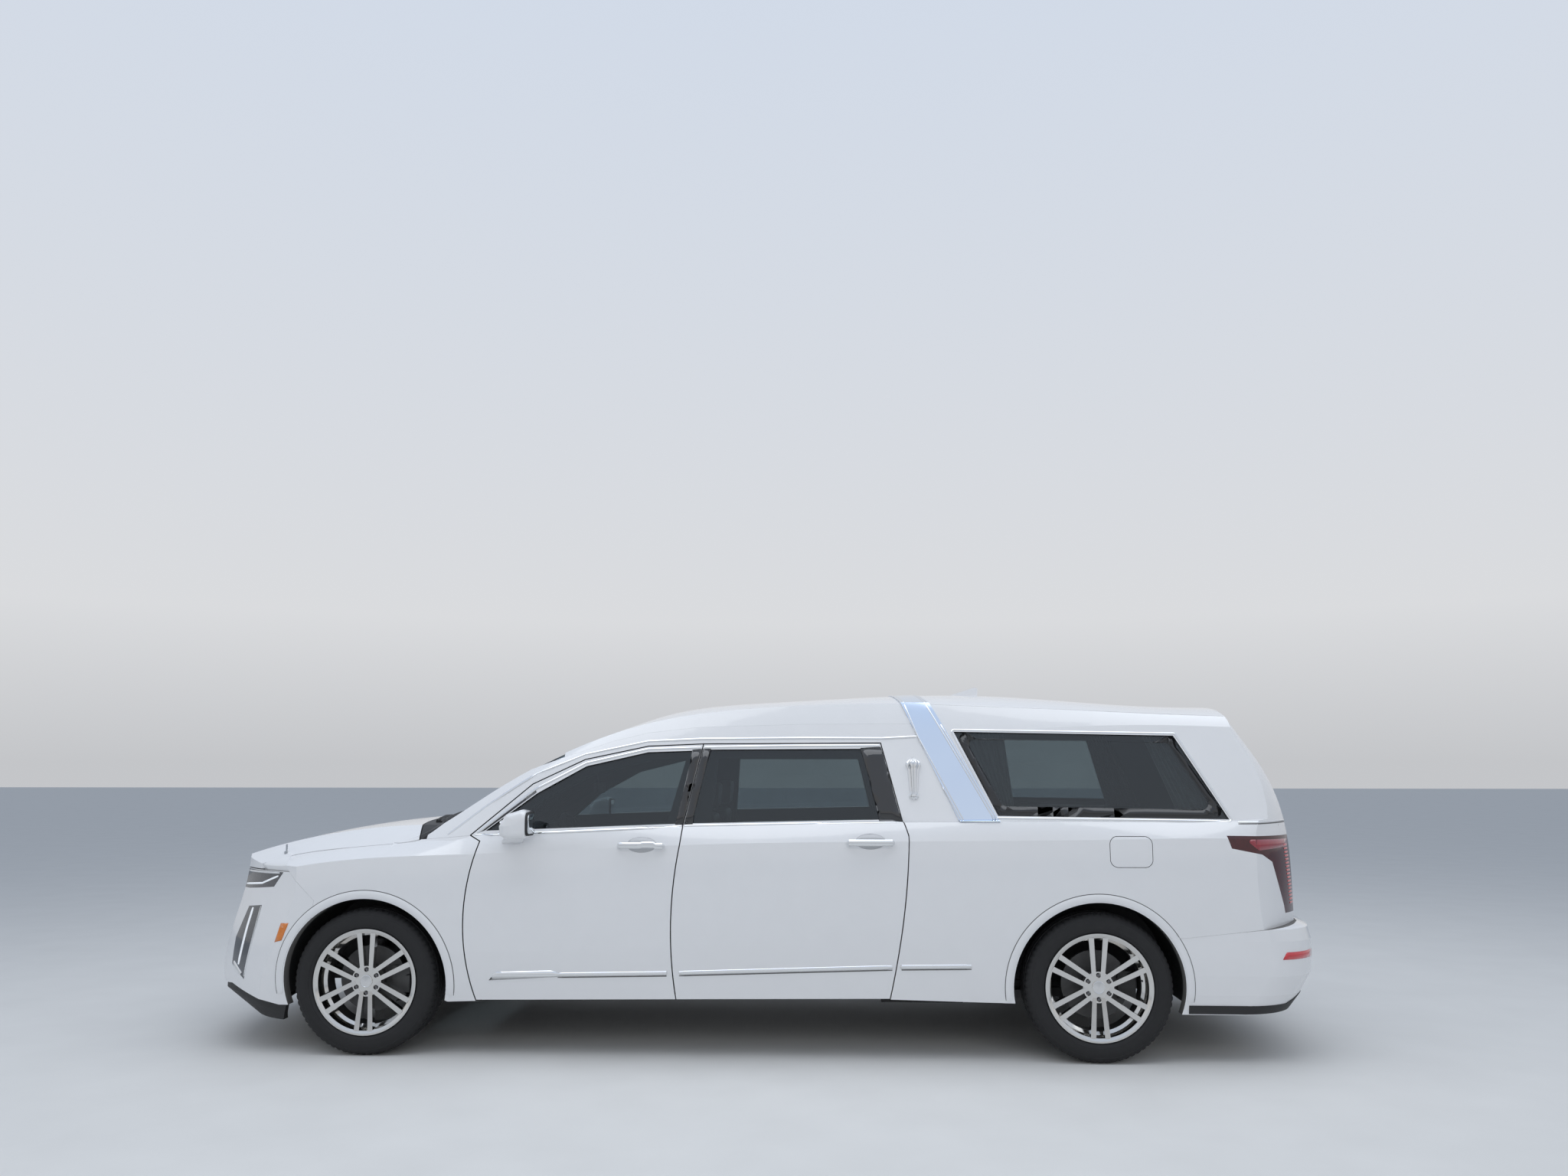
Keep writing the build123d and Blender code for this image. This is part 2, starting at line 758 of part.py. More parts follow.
wheel_solid = wheel()
tyre_solid = tyre()
for axle, axle_x in (("front", front_axle_x), ("rear", rear_axle_x)):
    for side, hand in (("left", -1), ("right", 1)):
        for kind, solid in (("wheel", wheel_solid), ("tyre", tyre_solid)):
            with BuildPart() as placed:
                with Locations((axle_x, hand * half_track, tyre_radius)):
                    add(solid if hand == 1 else mirrored(solid))
            write(placed.part, f"{kind}_{axle}_{side}")

# Bearing carriers, spindles and brake calipers
kingpin_y = 745
pin_radius = 13
post_radius = 22
lower_joint_z = 226
upper_joint_z = 560
joint_height = 20
carrier_radius = 48
brake_gap = 6
disc_inner_y = half_track + hub_back_y
disc_outer_y = disc_inner_y + disc_thickness
carrier_end_y = disc_inner_y - brake_gap - 1
spindle_end_y = half_track + hub_face_y - 2


def carrier(axle_x):
    """Bearing carrier, spindle and brake caliper of the right wheel on an axle."""
    with BuildPart() as body:
        add(box_between(
            (axle_x + disc_radius - 60, disc_inner_y - 22, tyre_radius - 68),
            (axle_x + disc_radius + 32, disc_outer_y + 22, tyre_radius + 68),
        ))
        disc_space = cylinder_along_y(
            axle_x, tyre_radius, disc_radius + brake_gap, disc_inner_y - brake_gap,
            disc_outer_y + brake_gap,
        )
        add(disc_space, mode=Mode.SUBTRACT)
        add(box_between(
            (axle_x, disc_inner_y - 30, tyre_radius - 30),
            (axle_x + disc_radius - 40, disc_inner_y - brake_gap - 2, tyre_radius + 30),
        ))
        add(cylinder_along_y(axle_x, tyre_radius, carrier_radius, kingpin_y - 20, carrier_end_y))
        add(cylinder_along_y(axle_x, tyre_radius, spindle_radius, carrier_end_y, spindle_end_y))
    return body.part


# Front knuckles: the carrier on a post along the kingpin axis, with a steering arm
steering_arm_z = 300
middle_joint_z = (lower_joint_z + upper_joint_z) / 2
joint_spacing = upper_joint_z - lower_joint_z
with BuildPart() as knuckle:
    add(carrier(front_axle_x))
    with Locations((front_axle_x, kingpin_y, middle_joint_z)):
        Cylinder(post_radius, joint_spacing - joint_height - 4)
        Cylinder(pin_radius, joint_spacing + joint_height + 4)
    for low, high in (((-20, -50), (20, 0)), ((0, -50), (150, -20))):
        add(box_between(
            (front_axle_x + low[0], kingpin_y + low[1], steering_arm_z),
            (front_axle_x + high[0], kingpin_y + high[1], steering_arm_z + 26),
        ))
write(knuckle.part, "knuckle_right")
write(mirrored(knuckle.part), "knuckle_left")


def arm(start, end, width, height):
    """Straight arm of rectangular section between two points."""
    start = Vector(*start)
    run = Vector(*end) - start
    with BuildPart() as body:
        with BuildSketch(Plane(origin=start, x_dir=(0, 0, 1), z_dir=run)):
            Rectangle(height, width)
        extrude(amount=run.length)
    return body.part


# Front subframe: rails, cross-member under the engine, wishbones with kingpin rings, struts
rail_y = 415
rail_half_width = 30
rail_front_x = -2790
firewall_x = -1530
engine_bottom_z = 388
wishbone_reach = 130
strut_top_z = 806
with BuildPart() as front_half:
    add(box_between(
        (rail_front_x, rail_y - rail_half_width, floor_z),
        (firewall_x, rail_y + rail_half_width, floor_z + 80)))
    for foot_x in (front_axle_x - wishbone_reach, front_axle_x + wishbone_reach):
        add(box_between(
            (foot_x - 30, rail_y - 30, lower_joint_z - 16), (foot_x + 30, rail_y + 30, upper_joint_z + 15)))
        for joint_z in (lower_joint_z, upper_joint_z):
            add(arm((foot_x, rail_y, joint_z), (front_axle_x, kingpin_y - 8, joint_z), 28, joint_height))
    with Locations((front_axle_x, kingpin_y, lower_joint_z), (front_axle_x, kingpin_y, upper_joint_z)):
        Cylinder(pin_radius + 17, joint_height)
    add(box_between((front_axle_x - 30, 570, upper_joint_z), (front_axle_x + 30, 630, strut_top_z)))
    add(box_between((front_axle_x - 30, 570, upper_joint_z - 10), (front_axle_x + 30, 700, upper_joint_z + 10)))
    with Locations((front_axle_x, kingpin_y, middle_joint_z)):
        Cylinder(pin_radius + running_clearance, 2 * joint_spacing, mode=Mode.SUBTRACT)
cross_reach = wishbone_reach + 40
front_cross = box_between(
    (front_axle_x - cross_reach, -rail_y, 206), (front_axle_x + cross_reach, rail_y, 266))
engine_mount = box_between(
    (front_axle_x - 60, -rail_y, 206), (front_axle_x + 60, rail_y, engine_bottom_z))
write(
    combine(front_half.part, joins=[mirrored(front_half.part), front_cross, engine_mount]),
    "front_subframe",
)

# Rear subframe: cross-members under the floor, lateral and trailing arms, carriers
trailing_length = 560
with BuildPart() as rear_half:
    add(carrier(rear_axle_x))
    add(arm((rear_axle_x, 480, 250), (rear_axle_x, 760, 330), 70, 50))
    add(arm((rear_axle_x - trailing_length, 520, 250), (rear_axle_x, 740, 330), 50, 44))
rear_cross = box_between((rear_axle_x - 120, -500, 220), (rear_axle_x + 120, 500, floor_z))
arm_cross = box_between(
    (rear_axle_x - trailing_length - 30, -545, 228), (rear_axle_x - trailing_length + 20, 545, floor_z))
write(
    combine(rear_half.part, joins=[mirrored(rear_half.part), rear_cross, arm_cross]),
    "rear_subframe",
)
write(box_between((-2560, -350, engine_bottom_z), (-1800, 350, 900)), "engine_block")
write(box_between((700, -420, 190), (1150, 420, floor_z)), "fuel_tank")

# Casket deck on two side rails, with its rollers
deck_top_z = 720
deck_thickness = 28
deck_half_width = 535
deck_front_x = -120
deck_rear_x = 2760
rear_panel_x = 2790
roller_radius = 17
roller_half_length = 230
rollers = 8
with BuildPart() as casket_deck:
    add(box_between(
        (deck_front_x, -deck_half_width, deck_top_z - deck_thickness),
        (deck_rear_x, deck_half_width, deck_top_z)))
    for hand in (1, -1):
        low, high = sorted((hand * (deck_half_width - 40), hand * deck_half_width))
        add(box_between(
            (deck_front_x, low, floor_z + floor_thickness), (deck_rear_x, high, deck_top_z - 10)))
    for i in range(rollers):
        roller_x = deck_front_x + (i + 0.5) * (deck_rear_x - deck_front_x) / rollers
        add(cylinder_along_y(roller_x, deck_top_z, roller_radius, -roller_half_length, roller_half_length))
write(casket_deck.part, "casket_deck")

# Dashboard with the steering column
column_tilt = 25
wheel_centre = (-1010, -400, 1045)
steering_radius = 185
grip_radius = 15
boss_depth = 40
column_length = 230
dash_half_width = 730
dash_profile = [
    (firewall_x + 30, 760), (firewall_x + 30, 1085), (-1250, 1075), (-1170, 1020), (-1150, 900),
    (-1220, 760),
]
wheel_axis = Vector(cos(radians(column_tilt)), 0, sin(radians(column_tilt)))
column_start = Vector(*wheel_centre) - wheel_axis * column_length
with BuildPart() as dashboard:
    with BuildSketch(Plane.XZ.offset(-dash_half_width)):
        with BuildLine():
            Polyline(dash_profile, close=True)
        make_face()
    extrude(amount=2 * dash_half_width)
    with BuildSketch(Plane(origin=column_start, z_dir=wheel_axis)):
        Circle(32)
    extrude(amount=column_length - boss_depth / 2 - running_clearance)
write(dashboard.part, "dashboard")
with BuildPart() as steering_wheel:
    with Locations(Plane(origin=wheel_centre, x_dir=(0, 1, 0), z_dir=wheel_axis).location):
        Torus(steering_radius, grip_radius)
        Cylinder(52, boss_depth)
        Box(2 * steering_radius, 34, 14)
        with Locations((0, -steering_radius / 2, 0)):
            Box(34, steering_radius, 14)
write(steering_wheel.part, "steering_wheel")

# Front seats, plain closed solids on their bases
seat_y = 380
seat_half_width = 250
seat_bottom_z = 560
seat_profile = [
    (-860, seat_bottom_z), (-880, 690), (-820, 730), (-420, 690), (-300, 1220), (-270, 1400),
    (-170, 1400), (-180, 1200), (-240, 640), (-300, seat_bottom_z),
]
with BuildPart() as front_seats:
    for y in (seat_y, -seat_y):
        with BuildSketch(Plane.XZ.offset(-y - seat_half_width)):
            with BuildLine():
                Polyline(seat_profile, close=True)
            make_face()
        extrude(amount=2 * seat_half_width)
        add(box_between((-800, y - 180, floor_z + floor_thickness), (-350, y + 180, seat_bottom_z)))
write(front_seats.part, "front_seats")

# Wheel housings: a half ring over each wheel out to the skin, with an inner wall
front_housing_y = 500
rear_housing_y = 560
ring_radius = housing_radius + housing_thickness


def housing(axle_x, inner_y, wall_bottom_z):
    """Housing over the right wheel of an axle."""
    ring = combine(
        cylinder_along_y(axle_x, tyre_radius, ring_radius, inner_y, side_reach),
        keeps=[door_back],
        cuts=[
            cylinder_along_y(axle_x, tyre_radius, housing_radius, inner_y - 1, side_reach),
            box_between((axle_x - 600, 0, -200), (axle_x + 600, side_reach, floor_z)),
        ],
    )
    wall = combine(
        cylinder_along_y(axle_x, tyre_radius, ring_radius, inner_y - housing_thickness, inner_y),
        cuts=[box_between((axle_x - 600, 0, -200), (axle_x + 600, side_reach, wall_bottom_z))],
    )
    return combine(ring, joins=[wall])


bumper_wall_y = 905
rear_housing = combine(
    housing(rear_axle_x, rear_housing_y, floor_z + 45),
    cuts=[box_between((rear_axle_x, bumper_wall_y, 0), (rear_axle_x + 600, side_reach, 640))],
)
with BuildPart() as wheel_housings:
    for piece in (housing(front_axle_x, front_housing_y, upper_joint_z + 80), rear_housing):
        add(piece)
        add(mirrored(piece))
write(wheel_housings.part, "wheel_housings")

# Floor with the firewall in front, the rear panel and the sill under the rear door, and four jack pads
frame_end_x = 900
floor_top_z = floor_z + floor_thickness
firewall_top_z = 1090
sill_top_z = 689
jack_pad_side = 90
jack_pad_height = 12
jack_pad_places = [(-1200, 750), (-1200, -750), (600, 750), (600, -750)]
housing_space = cylinder_along_y(
    rear_axle_x, tyre_radius, ring_radius + seam, rear_housing_y - housing_thickness - seam, side_reach)
front_floor = combine(
    box_between((firewall_x, -860, floor_z), (frame_end_x, 860, floor_top_z)),
    joins=[box_between((firewall_x, -860, floor_z), (firewall_x + 30, 860, firewall_top_z))],
    keeps=[frame_back],
)
middle_floor = combine(
    box_between((frame_end_x, -900, floor_z), (bumper_front_x, 900, floor_top_z)), keeps=[door_stop],
)
rear_floor = combine(
    box_between((bumper_front_x, -900, floor_z), (rear_panel_x, 900, floor_top_z)),
    joins=[
        box_between((rear_panel_x, -740, floor_z), (rear_panel_x + 30, 740, sill_top_z)),
        box_between((rear_panel_x, -900, sill_top_z - 30), (tail_x, 900, sill_top_z)),
    ],
    keeps=[bumper_inside],
)
jack_pads = [
    box_between(
        (x - jack_pad_side / 2, y - jack_pad_side / 2, floor_z - jack_pad_height),
        (x + jack_pad_side / 2, y + jack_pad_side / 2, floor_z + floor_thickness),
    )
    for x, y in jack_pad_places
]
floor_pan = combine(
    front_floor, joins=[middle_floor, rear_floor, *jack_pads],
    cuts=[housing_space, mirrored(housing_space)],
)
write(floor_pan, "floor_pan")

# Drapes at the ends of the quarter windows, plain closed solids
drape_outlines = [
    [(1090, 1690), (1360, 1690), (1400, 1215), (1300, 1215)],
    [(2080, 1680), (2240, 1680), (2470, 1215), (2240, 1215)],
]
with BuildPart() as drapes:
    for outline in drape_outlines:
        drape = combine(door_stop, keeps=[side_prism(outline)], cuts=[frame_back])
        add(drape)
        add(mirrored(drape))
write(drapes.part, "drapes")

# Door mirrors: y, middle x, middle z, width and height of each section of the head
mirror_stations = [
    (1005, -1184, 1192, 120, 118), (1080, -1180, 1196, 156, 150), (1168, -1172, 1196, 126, 116),
]
with BuildPart() as door_mirror:
    for y, x, z, width, height in mirror_stations:
        with BuildSketch(Plane.XZ.offset(y)):
            with Locations((x, z)):
                RectangleRounded(width, height, 42)
    loft(ruled=True)
    add(arm((-1245, -930, 1105), (-1195, -1040, 1160), 90, 34))
    add(band_back, mode=Mode.SUBTRACT)
write_pair(door_mirror.part, "mirror")

# Aerial fin on the roof
fin_profile = [(1100, 1870), (1100, 1896), (1290, 1957), (1306, 1950), (1300, 1870)]
with BuildPart() as aerial_fin:
    with BuildSketch(Plane.XZ.offset(-14)):
        with BuildLine():
            Polyline(fin_profile, close=True)
        make_face()
    extrude(amount=28)
    add(band_back, mode=Mode.SUBTRACT)
write(aerial_fin.part, "aerial_fin")
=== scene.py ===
import math

import bmesh
import bpy
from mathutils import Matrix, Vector
from mathutils.bvhtree import BVHTree


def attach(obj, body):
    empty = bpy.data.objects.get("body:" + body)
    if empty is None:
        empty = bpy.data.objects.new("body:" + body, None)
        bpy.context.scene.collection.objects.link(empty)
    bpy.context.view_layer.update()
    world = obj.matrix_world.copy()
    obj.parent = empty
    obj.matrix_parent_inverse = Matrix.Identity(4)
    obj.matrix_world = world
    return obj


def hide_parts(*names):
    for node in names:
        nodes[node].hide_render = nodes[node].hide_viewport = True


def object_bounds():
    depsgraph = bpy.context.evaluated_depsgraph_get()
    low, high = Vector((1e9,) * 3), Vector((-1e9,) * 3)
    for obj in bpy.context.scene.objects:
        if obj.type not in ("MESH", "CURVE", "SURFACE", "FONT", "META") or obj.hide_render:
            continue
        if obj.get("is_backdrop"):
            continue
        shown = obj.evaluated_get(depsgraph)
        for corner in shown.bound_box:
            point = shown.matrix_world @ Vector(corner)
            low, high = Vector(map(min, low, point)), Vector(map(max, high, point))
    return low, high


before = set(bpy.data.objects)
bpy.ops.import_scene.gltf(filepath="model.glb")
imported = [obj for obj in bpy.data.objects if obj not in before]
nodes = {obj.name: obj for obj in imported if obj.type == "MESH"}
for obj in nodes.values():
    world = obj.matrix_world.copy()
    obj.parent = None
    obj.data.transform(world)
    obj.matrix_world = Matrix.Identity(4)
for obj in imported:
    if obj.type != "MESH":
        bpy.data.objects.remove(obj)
SIDES = (("left", -1), ("right", 1))
AXLES = (("front", -1.995), ("rear", 1.781))
HUB_Z = 0.374
HALF_TRACK = 0.84


# Materials


def blank_material(name):
    """New material with nothing but its output node."""
    made = bpy.data.materials.new(name)
    made.use_nodes = True
    made.node_tree.nodes.clear()
    return made, made.node_tree, made.node_tree.nodes.new("ShaderNodeOutputMaterial")


def math_node(tree, operation, first, second):
    """Output of a math node; each input is a socket or a number."""
    node = tree.nodes.new("ShaderNodeMath")
    node.operation = operation
    for socket, value in zip(node.inputs, (first, second)):
        if isinstance(value, (int, float)):
            socket.default_value = value
        else:
            tree.links.new(value, socket)
    return node.outputs[0]


def noise_of(tree, scale):
    """Output of a noise in object coordinates."""
    place = tree.nodes.new("ShaderNodeTexCoord")
    noise = tree.nodes.new("ShaderNodeTexNoise")
    noise.inputs["Scale"].default_value = scale
    noise.inputs["Detail"].default_value = 3.0
    tree.links.new(place.outputs["Object"], noise.inputs["Vector"])
    return noise.outputs["Fac"]


def surface(
    tree, colour, roughness, metallic=0.0, coat=0.0, spread=0.05, scale=30.0, bump=0.0, glow=0.0
):
    """Principled shader whose colour, roughness and relief vary with noise."""
    node = tree.nodes.new("ShaderNodeBsdfPrincipled")
    noise = noise_of(tree, scale)
    ramp = tree.nodes.new("ShaderNodeValToRGB")
    for stop, share in zip(ramp.color_ramp.elements, (1 - spread, 1 + spread)):
        stop.color = [min(1.0, c * share) for c in colour] + [1.0]
    tree.links.new(noise, ramp.inputs["Fac"])
    tree.links.new(ramp.outputs["Color"], node.inputs["Base Color"])
    polish = tree.nodes.new("ShaderNodeMapRange")
    polish.inputs["To Min"].default_value = roughness * 0.85
    polish.inputs["To Max"].default_value = roughness * 1.15
    tree.links.new(noise, polish.inputs["Value"])
    tree.links.new(polish.outputs["Result"], node.inputs["Roughness"])
    node.inputs["Metallic"].default_value = metallic
    node.inputs["Coat Weight"].default_value = coat
    node.inputs["Coat Roughness"].default_value = 0.04
    if glow:
        tree.links.new(ramp.outputs["Color"], node.inputs["Emission Color"])
        node.inputs["Emission Strength"].default_value = glow
    if bump:
        relief = tree.nodes.new("ShaderNodeBump")
        relief.inputs["Strength"].default_value = 0.4
        relief.inputs["Distance"].default_value = bump
        tree.links.new(noise_of(tree, scale * 6), relief.inputs["Height"])
        tree.links.new(relief.outputs["Normal"], node.inputs["Normal"])
    return node.outputs["BSDF"]


def plain(name, colour, roughness, **more):
    """Material of one noise-varied surface."""
    made, tree, out = blank_material(name)
    tree.links.new(surface(tree, colour, roughness, **more), out.inputs["Surface"])
    return made


def masked(name, inner, outer, mask_of):
    """Material that shows outer where mask_of(tree, object coordinates) is 1, and inner elsewhere."""
    made, tree, out = blank_material(name)
    place = tree.nodes.new("ShaderNodeTexCoord")
    mix = tree.nodes.new("ShaderNodeMixShader")
    tree.links.new(mask_of(tree, place), mix.inputs["Fac"])
    tree.links.new(surface(tree, **inner), mix.inputs[1])
    tree.links.new(surface(tree, **outer), mix.inputs[2])
    tree.links.new(mix.outputs["Shader"], out.inputs["Surface"])
    return made


def facing_out(tree, place):
    """1 on faces turned away from the middle of the car, 0 on those turned inwards."""
    split = tree.nodes.new("ShaderNodeSeparateXYZ")
    tree.links.new(place.outputs["Object"], split.inputs[0])
    away = tree.nodes.new("ShaderNodeCombineXYZ")
    tree.links.new(math_node(tree, "MULTIPLY", split.outputs["X"], 0.3), away.inputs["X"])
    tree.links.new(split.outputs["Y"], away.inputs["Y"])
    tree.links.new(math_node(tree, "SUBTRACT", split.outputs["Z"], 0.95), away.inputs["Z"])
    dot = tree.nodes.new("ShaderNodeVectorMath")
    dot.operation = "DOT_PRODUCT"
    tree.links.new(place.outputs["Normal"], dot.inputs[0])
    tree.links.new(away.outputs[0], dot.inputs[1])
    return math_node(tree, "GREATER_THAN", dot.outputs["Value"], 0.0)


def far_out(limit):
    """Mask that is 1 where the distance from the car's middle plane is above the limit."""

    def mask(tree, place):
        split = tree.nodes.new("ShaderNodeSeparateXYZ")
        tree.links.new(place.outputs["Object"], split.inputs[0])
        side = math_node(tree, "ABSOLUTE", split.outputs["Y"], 0.0)
        return math_node(tree, "GREATER_THAN", side, limit)

    return mask


def see_through(name, tint, share):
    """Thin glazing: mostly clear tint, with a mirror share that grows at grazing angles."""
    made, tree, out = blank_material(name)
    clear = tree.nodes.new("ShaderNodeBsdfTransparent")
    ramp = tree.nodes.new("ShaderNodeValToRGB")
    for stop, more in zip(ramp.color_ramp.elements, (0.94, 1.06)):
        stop.color = [min(1.0, c * more) for c in tint] + [1.0]
    tree.links.new(noise_of(tree, 3.0), ramp.inputs["Fac"])
    tree.links.new(ramp.outputs["Color"], clear.inputs["Color"])
    gloss = tree.nodes.new("ShaderNodeBsdfGlossy")
    gloss.inputs["Roughness"].default_value = 0.02
    gloss.inputs["Color"].default_value = (0.95, 0.97, 1.0, 1.0)
    edge = tree.nodes.new("ShaderNodeFresnel")
    edge.inputs["IOR"].default_value = 1.45
    mix = tree.nodes.new("ShaderNodeMixShader")
    tree.links.new(math_node(tree, "ADD", edge.outputs[0], share), mix.inputs["Fac"])
    tree.links.new(clear.outputs[0], mix.inputs[1])
    tree.links.new(gloss.outputs[0], mix.inputs[2])
    tree.links.new(mix.outputs["Shader"], out.inputs["Surface"])
    return made


pearl = dict(colour=(0.80, 0.81, 0.83), roughness=0.24, coat=0.9, spread=0.015, scale=9.0)
lining = dict(colour=(0.16, 0.155, 0.15), roughness=0.8, spread=0.1, scale=60.0)
# dark iron colour: the knuckles' and engine's own colour, and painted shade inside the wheels
iron_and_painted_shade = dict(colour=(0.10, 0.10, 0.10), roughness=0.5, metallic=0.6, spread=0.25, scale=25.0)
bright_alloy = dict(colour=(0.66, 0.65, 0.63), roughness=0.13, metallic=1.0, spread=0.04, scale=18.0)
paint = masked("pearl_paint", lining, pearl, facing_out)
whole_paint = plain("pearl_trim", **pearl)
# grey for recesses that are not cut into the skin: painted shade
cup_painted_shade = plain("cup_shade", (0.50, 0.51, 0.53), 0.3, coat=0.8, spread=0.05)
# wheel finish: bright alloy outboard of 0.862 m from the middle plane, and inboard of it a dark colour that
# is painted shade inside the wheel
alloy_with_painted_shade = masked("wheel_alloy", iron_and_painted_shade, bright_alloy, far_out(0.862))
window_glass = see_through("window_glass", (0.56, 0.61, 0.62), 0.02)
chrome = plain("chrome", (0.80, 0.81, 0.82), 0.07, metallic=1.0, spread=0.02)
# steel of the landau band; its blue tint is a painted sky reflection
band_steel = plain("band_steel", (0.76, 0.85, 1.0), 0.09, metallic=1.0, spread=0.03, scale=5.0)
gloss_black = plain("gloss_black", (0.008, 0.008, 0.009), 0.08, coat=1.0, spread=0.2)
frit_black = plain("frit_black", (0.010, 0.010, 0.011), 0.22, coat=0.5, spread=0.2)
line_dark = plain("line_dark", (0.12, 0.12, 0.12), 0.5, spread=0.1)
moulded_black = plain("moulded_black", (0.022, 0.022, 0.023), 0.6, spread=0.15, scale=50.0, bump=0.0006)
chassis_black = plain("chassis_black", (0.03, 0.03, 0.03), 0.55, spread=0.3, scale=12.0, bump=0.001)
cast_iron = plain("cast_iron", **iron_and_painted_shade)
rubber = plain("tyre_rubber", (0.012, 0.012, 0.013), 0.72, spread=0.2, scale=35.0, bump=0.0008)
lamp_dark = plain("lamp_dark", (0.05, 0.055, 0.065), 0.12, coat=1.0, spread=0.4, scale=55.0)
lamp_white = plain("lamp_white", (0.85, 0.88, 0.92), 0.15, coat=0.8, spread=0.05, glow=0.25)
lamp_red = plain("lamp_red", (0.055, 0.003, 0.006), 0.1, coat=0.7, spread=0.5, scale=26.0)
red_strip = plain("red_strip", (0.60, 0.02, 0.03), 0.12, coat=1.0, spread=0.2, scale=70.0)
red_glow = plain("red_glow", (0.30, 0.025, 0.04), 0.1, coat=0.8, spread=0.3, scale=30.0)
amber = plain("amber_lens", (0.70, 0.20, 0.02), 0.15, coat=0.8, spread=0.15, scale=60.0)
mirror_face = plain("mirror_face", (0.75, 0.78, 0.80), 0.02, metallic=1.0, spread=0.01)
deck_wood = plain("deck_wood", (0.17, 0.085, 0.04), 0.3, coat=0.4, spread=0.35, scale=14.0)
cabin = plain("cabin_plastic", (0.045, 0.045, 0.047), 0.6, spread=0.15, scale=70.0, bump=0.0004)
leather = plain("seat_leather", (0.07, 0.066, 0.063), 0.42, spread=0.2, scale=28.0, bump=0.0008)
cloth = plain("drape_cloth", (0.36, 0.35, 0.34), 0.9, spread=0.12, scale=90.0, bump=0.0006)
headliner_cloth = plain("headliner_cloth", (0.42, 0.41, 0.39), 0.9, spread=0.08, scale=80.0, bump=0.0005)
dark_nut = plain("nut_steel", (0.16, 0.16, 0.17), 0.25, metallic=0.9, spread=0.15)
bright_cap = plain("hub_cap_alloy", (0.70, 0.70, 0.70), 0.15, metallic=1.0, spread=0.03)
blank_plate = plain("blank_plate", (0.72, 0.72, 0.70), 0.35, spread=0.03)
clear_light = plain("clear_light", (0.80, 0.84, 0.90), 0.2, spread=0.05, glow=0.6)

node_finish = {
    "landau_band": band_steel, "fixed_glass": window_glass, "rear_door_glass": window_glass,
    "grille": gloss_black, "front_lip": moulded_black, "wheel_housings": moulded_black,
    "headlamps": lamp_dark, "tail_lamps": lamp_red, "engine_block": cast_iron,
    "casket_deck": deck_wood, "dashboard": cabin, "steering_wheel": cabin, "front_seats": leather,
    "drapes": cloth, "front_subframe": chassis_black, "rear_subframe": chassis_black,
    "floor_pan": chassis_black, "fuel_tank": chassis_black, "rear_gate_frame": chassis_black,
    "cowl": moulded_black, "aerial_fin": whole_paint,
}
family_finish = {
    "door_glass": window_glass, "wheel_": alloy_with_painted_shade, "tyre_": rubber, "knuckle_": cast_iron,
    "side_frame": chassis_black, "mirror": whole_paint,
}
for name, part in nodes.items():
    of_family = [finish for start, finish in family_finish.items() if name.startswith(start)]
    finish = node_finish.get(name, of_family[0] if of_family else paint)
    part.data.materials.clear()
    part.data.materials.append(finish)
    part.data.polygons.foreach_set("use_smooth", [True] * len(part.data.polygons))


# Mesh helpers


def piece(name, points, faces, finish, body, angle=0.6):
    """Mesh object from points and faces, with its normals outwards, riding on a body."""
    mesh = bpy.data.meshes.new(name)
    shape = bmesh.new()
    made = [shape.verts.new(p) for p in points]
    for face in faces:
        shape.faces.new([made[i] for i in face])
    bmesh.ops.recalc_face_normals(shape, faces=shape.faces)
    shape.to_mesh(mesh)
    shape.free()
    return placed(name, mesh, finish, body, angle)


def placed(name, mesh, finish, body, angle=0.6):
    """Object of a mesh, smooth up to an angle, with its finish and body."""
    mesh.materials.append(finish)
    mesh.polygons.foreach_set("use_smooth", [True] * len(mesh.polygons))
    mesh.set_sharp_from_angle(angle=angle)
    obj = bpy.data.objects.new(name, mesh)
    bpy.context.scene.collection.objects.link(obj)
    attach(obj, body)
    return obj


def sweep(name, rows, finish, body, loop=False, angle=0.6):
    """Skin over a row of closed cross-sections with the same count of points."""
    count = len(rows[0])
    points = [p for row in rows for p in row]
    faces = []
    for i in range(len(rows) if loop else len(rows) - 1):
        a, b = i * count, (i + 1) % len(rows) * count
        for j in range(count):
            k = (j + 1) % count
            faces.append((a + j, a + k, b + k, b + j))
    if not loop:
        faces.append(tuple(range(count - 1, -1, -1)))
        faces.append(tuple(range(len(points) - count, len(points))))
    return piece(name, points, faces, finish, body, angle)


def tree_of(*names):
    """Search tree over the faces of some carried-over nodes."""
    points, faces = [], []
    for name in names:
        mesh = nodes[name].data
        base = len(points)
        points += [v.co.copy() for v in mesh.vertices]
        faces += [[base + i for i in f.vertices] for f in mesh.polygons]
    return BVHTree.FromPolygons(points, faces)


def cast(tree, start, way, reach, fallback):
    """Point and outward normal where a ray meets the tree, or else the nearest point."""
    hit, normal, _, _ = tree.ray_cast(start, way, reach)
    if hit is None:
        hit, normal, _, _ = tree.find_nearest(fallback)
    return hit, -normal if normal.dot(way) > 0 else normal


def from_side(tree, hand):
    """Probe of (x, z) that finds the skin seen from one side."""

    def probe(x, z):
        start, near = Vector((x, hand * 1.5, z)), Vector((x, hand * 0.93, z))
        return cast(tree, start, Vector((0, -hand, 0)), 1.1, near)

    return probe


def from_above(tree):
    """Probe of (x, y) that finds the skin seen from above."""

    def probe(x, y):
        return cast(tree, Vector((x, y, 2.6)), Vector((0, 0, -1)), 2.2, Vector((x, y, 1.3)))

    return probe


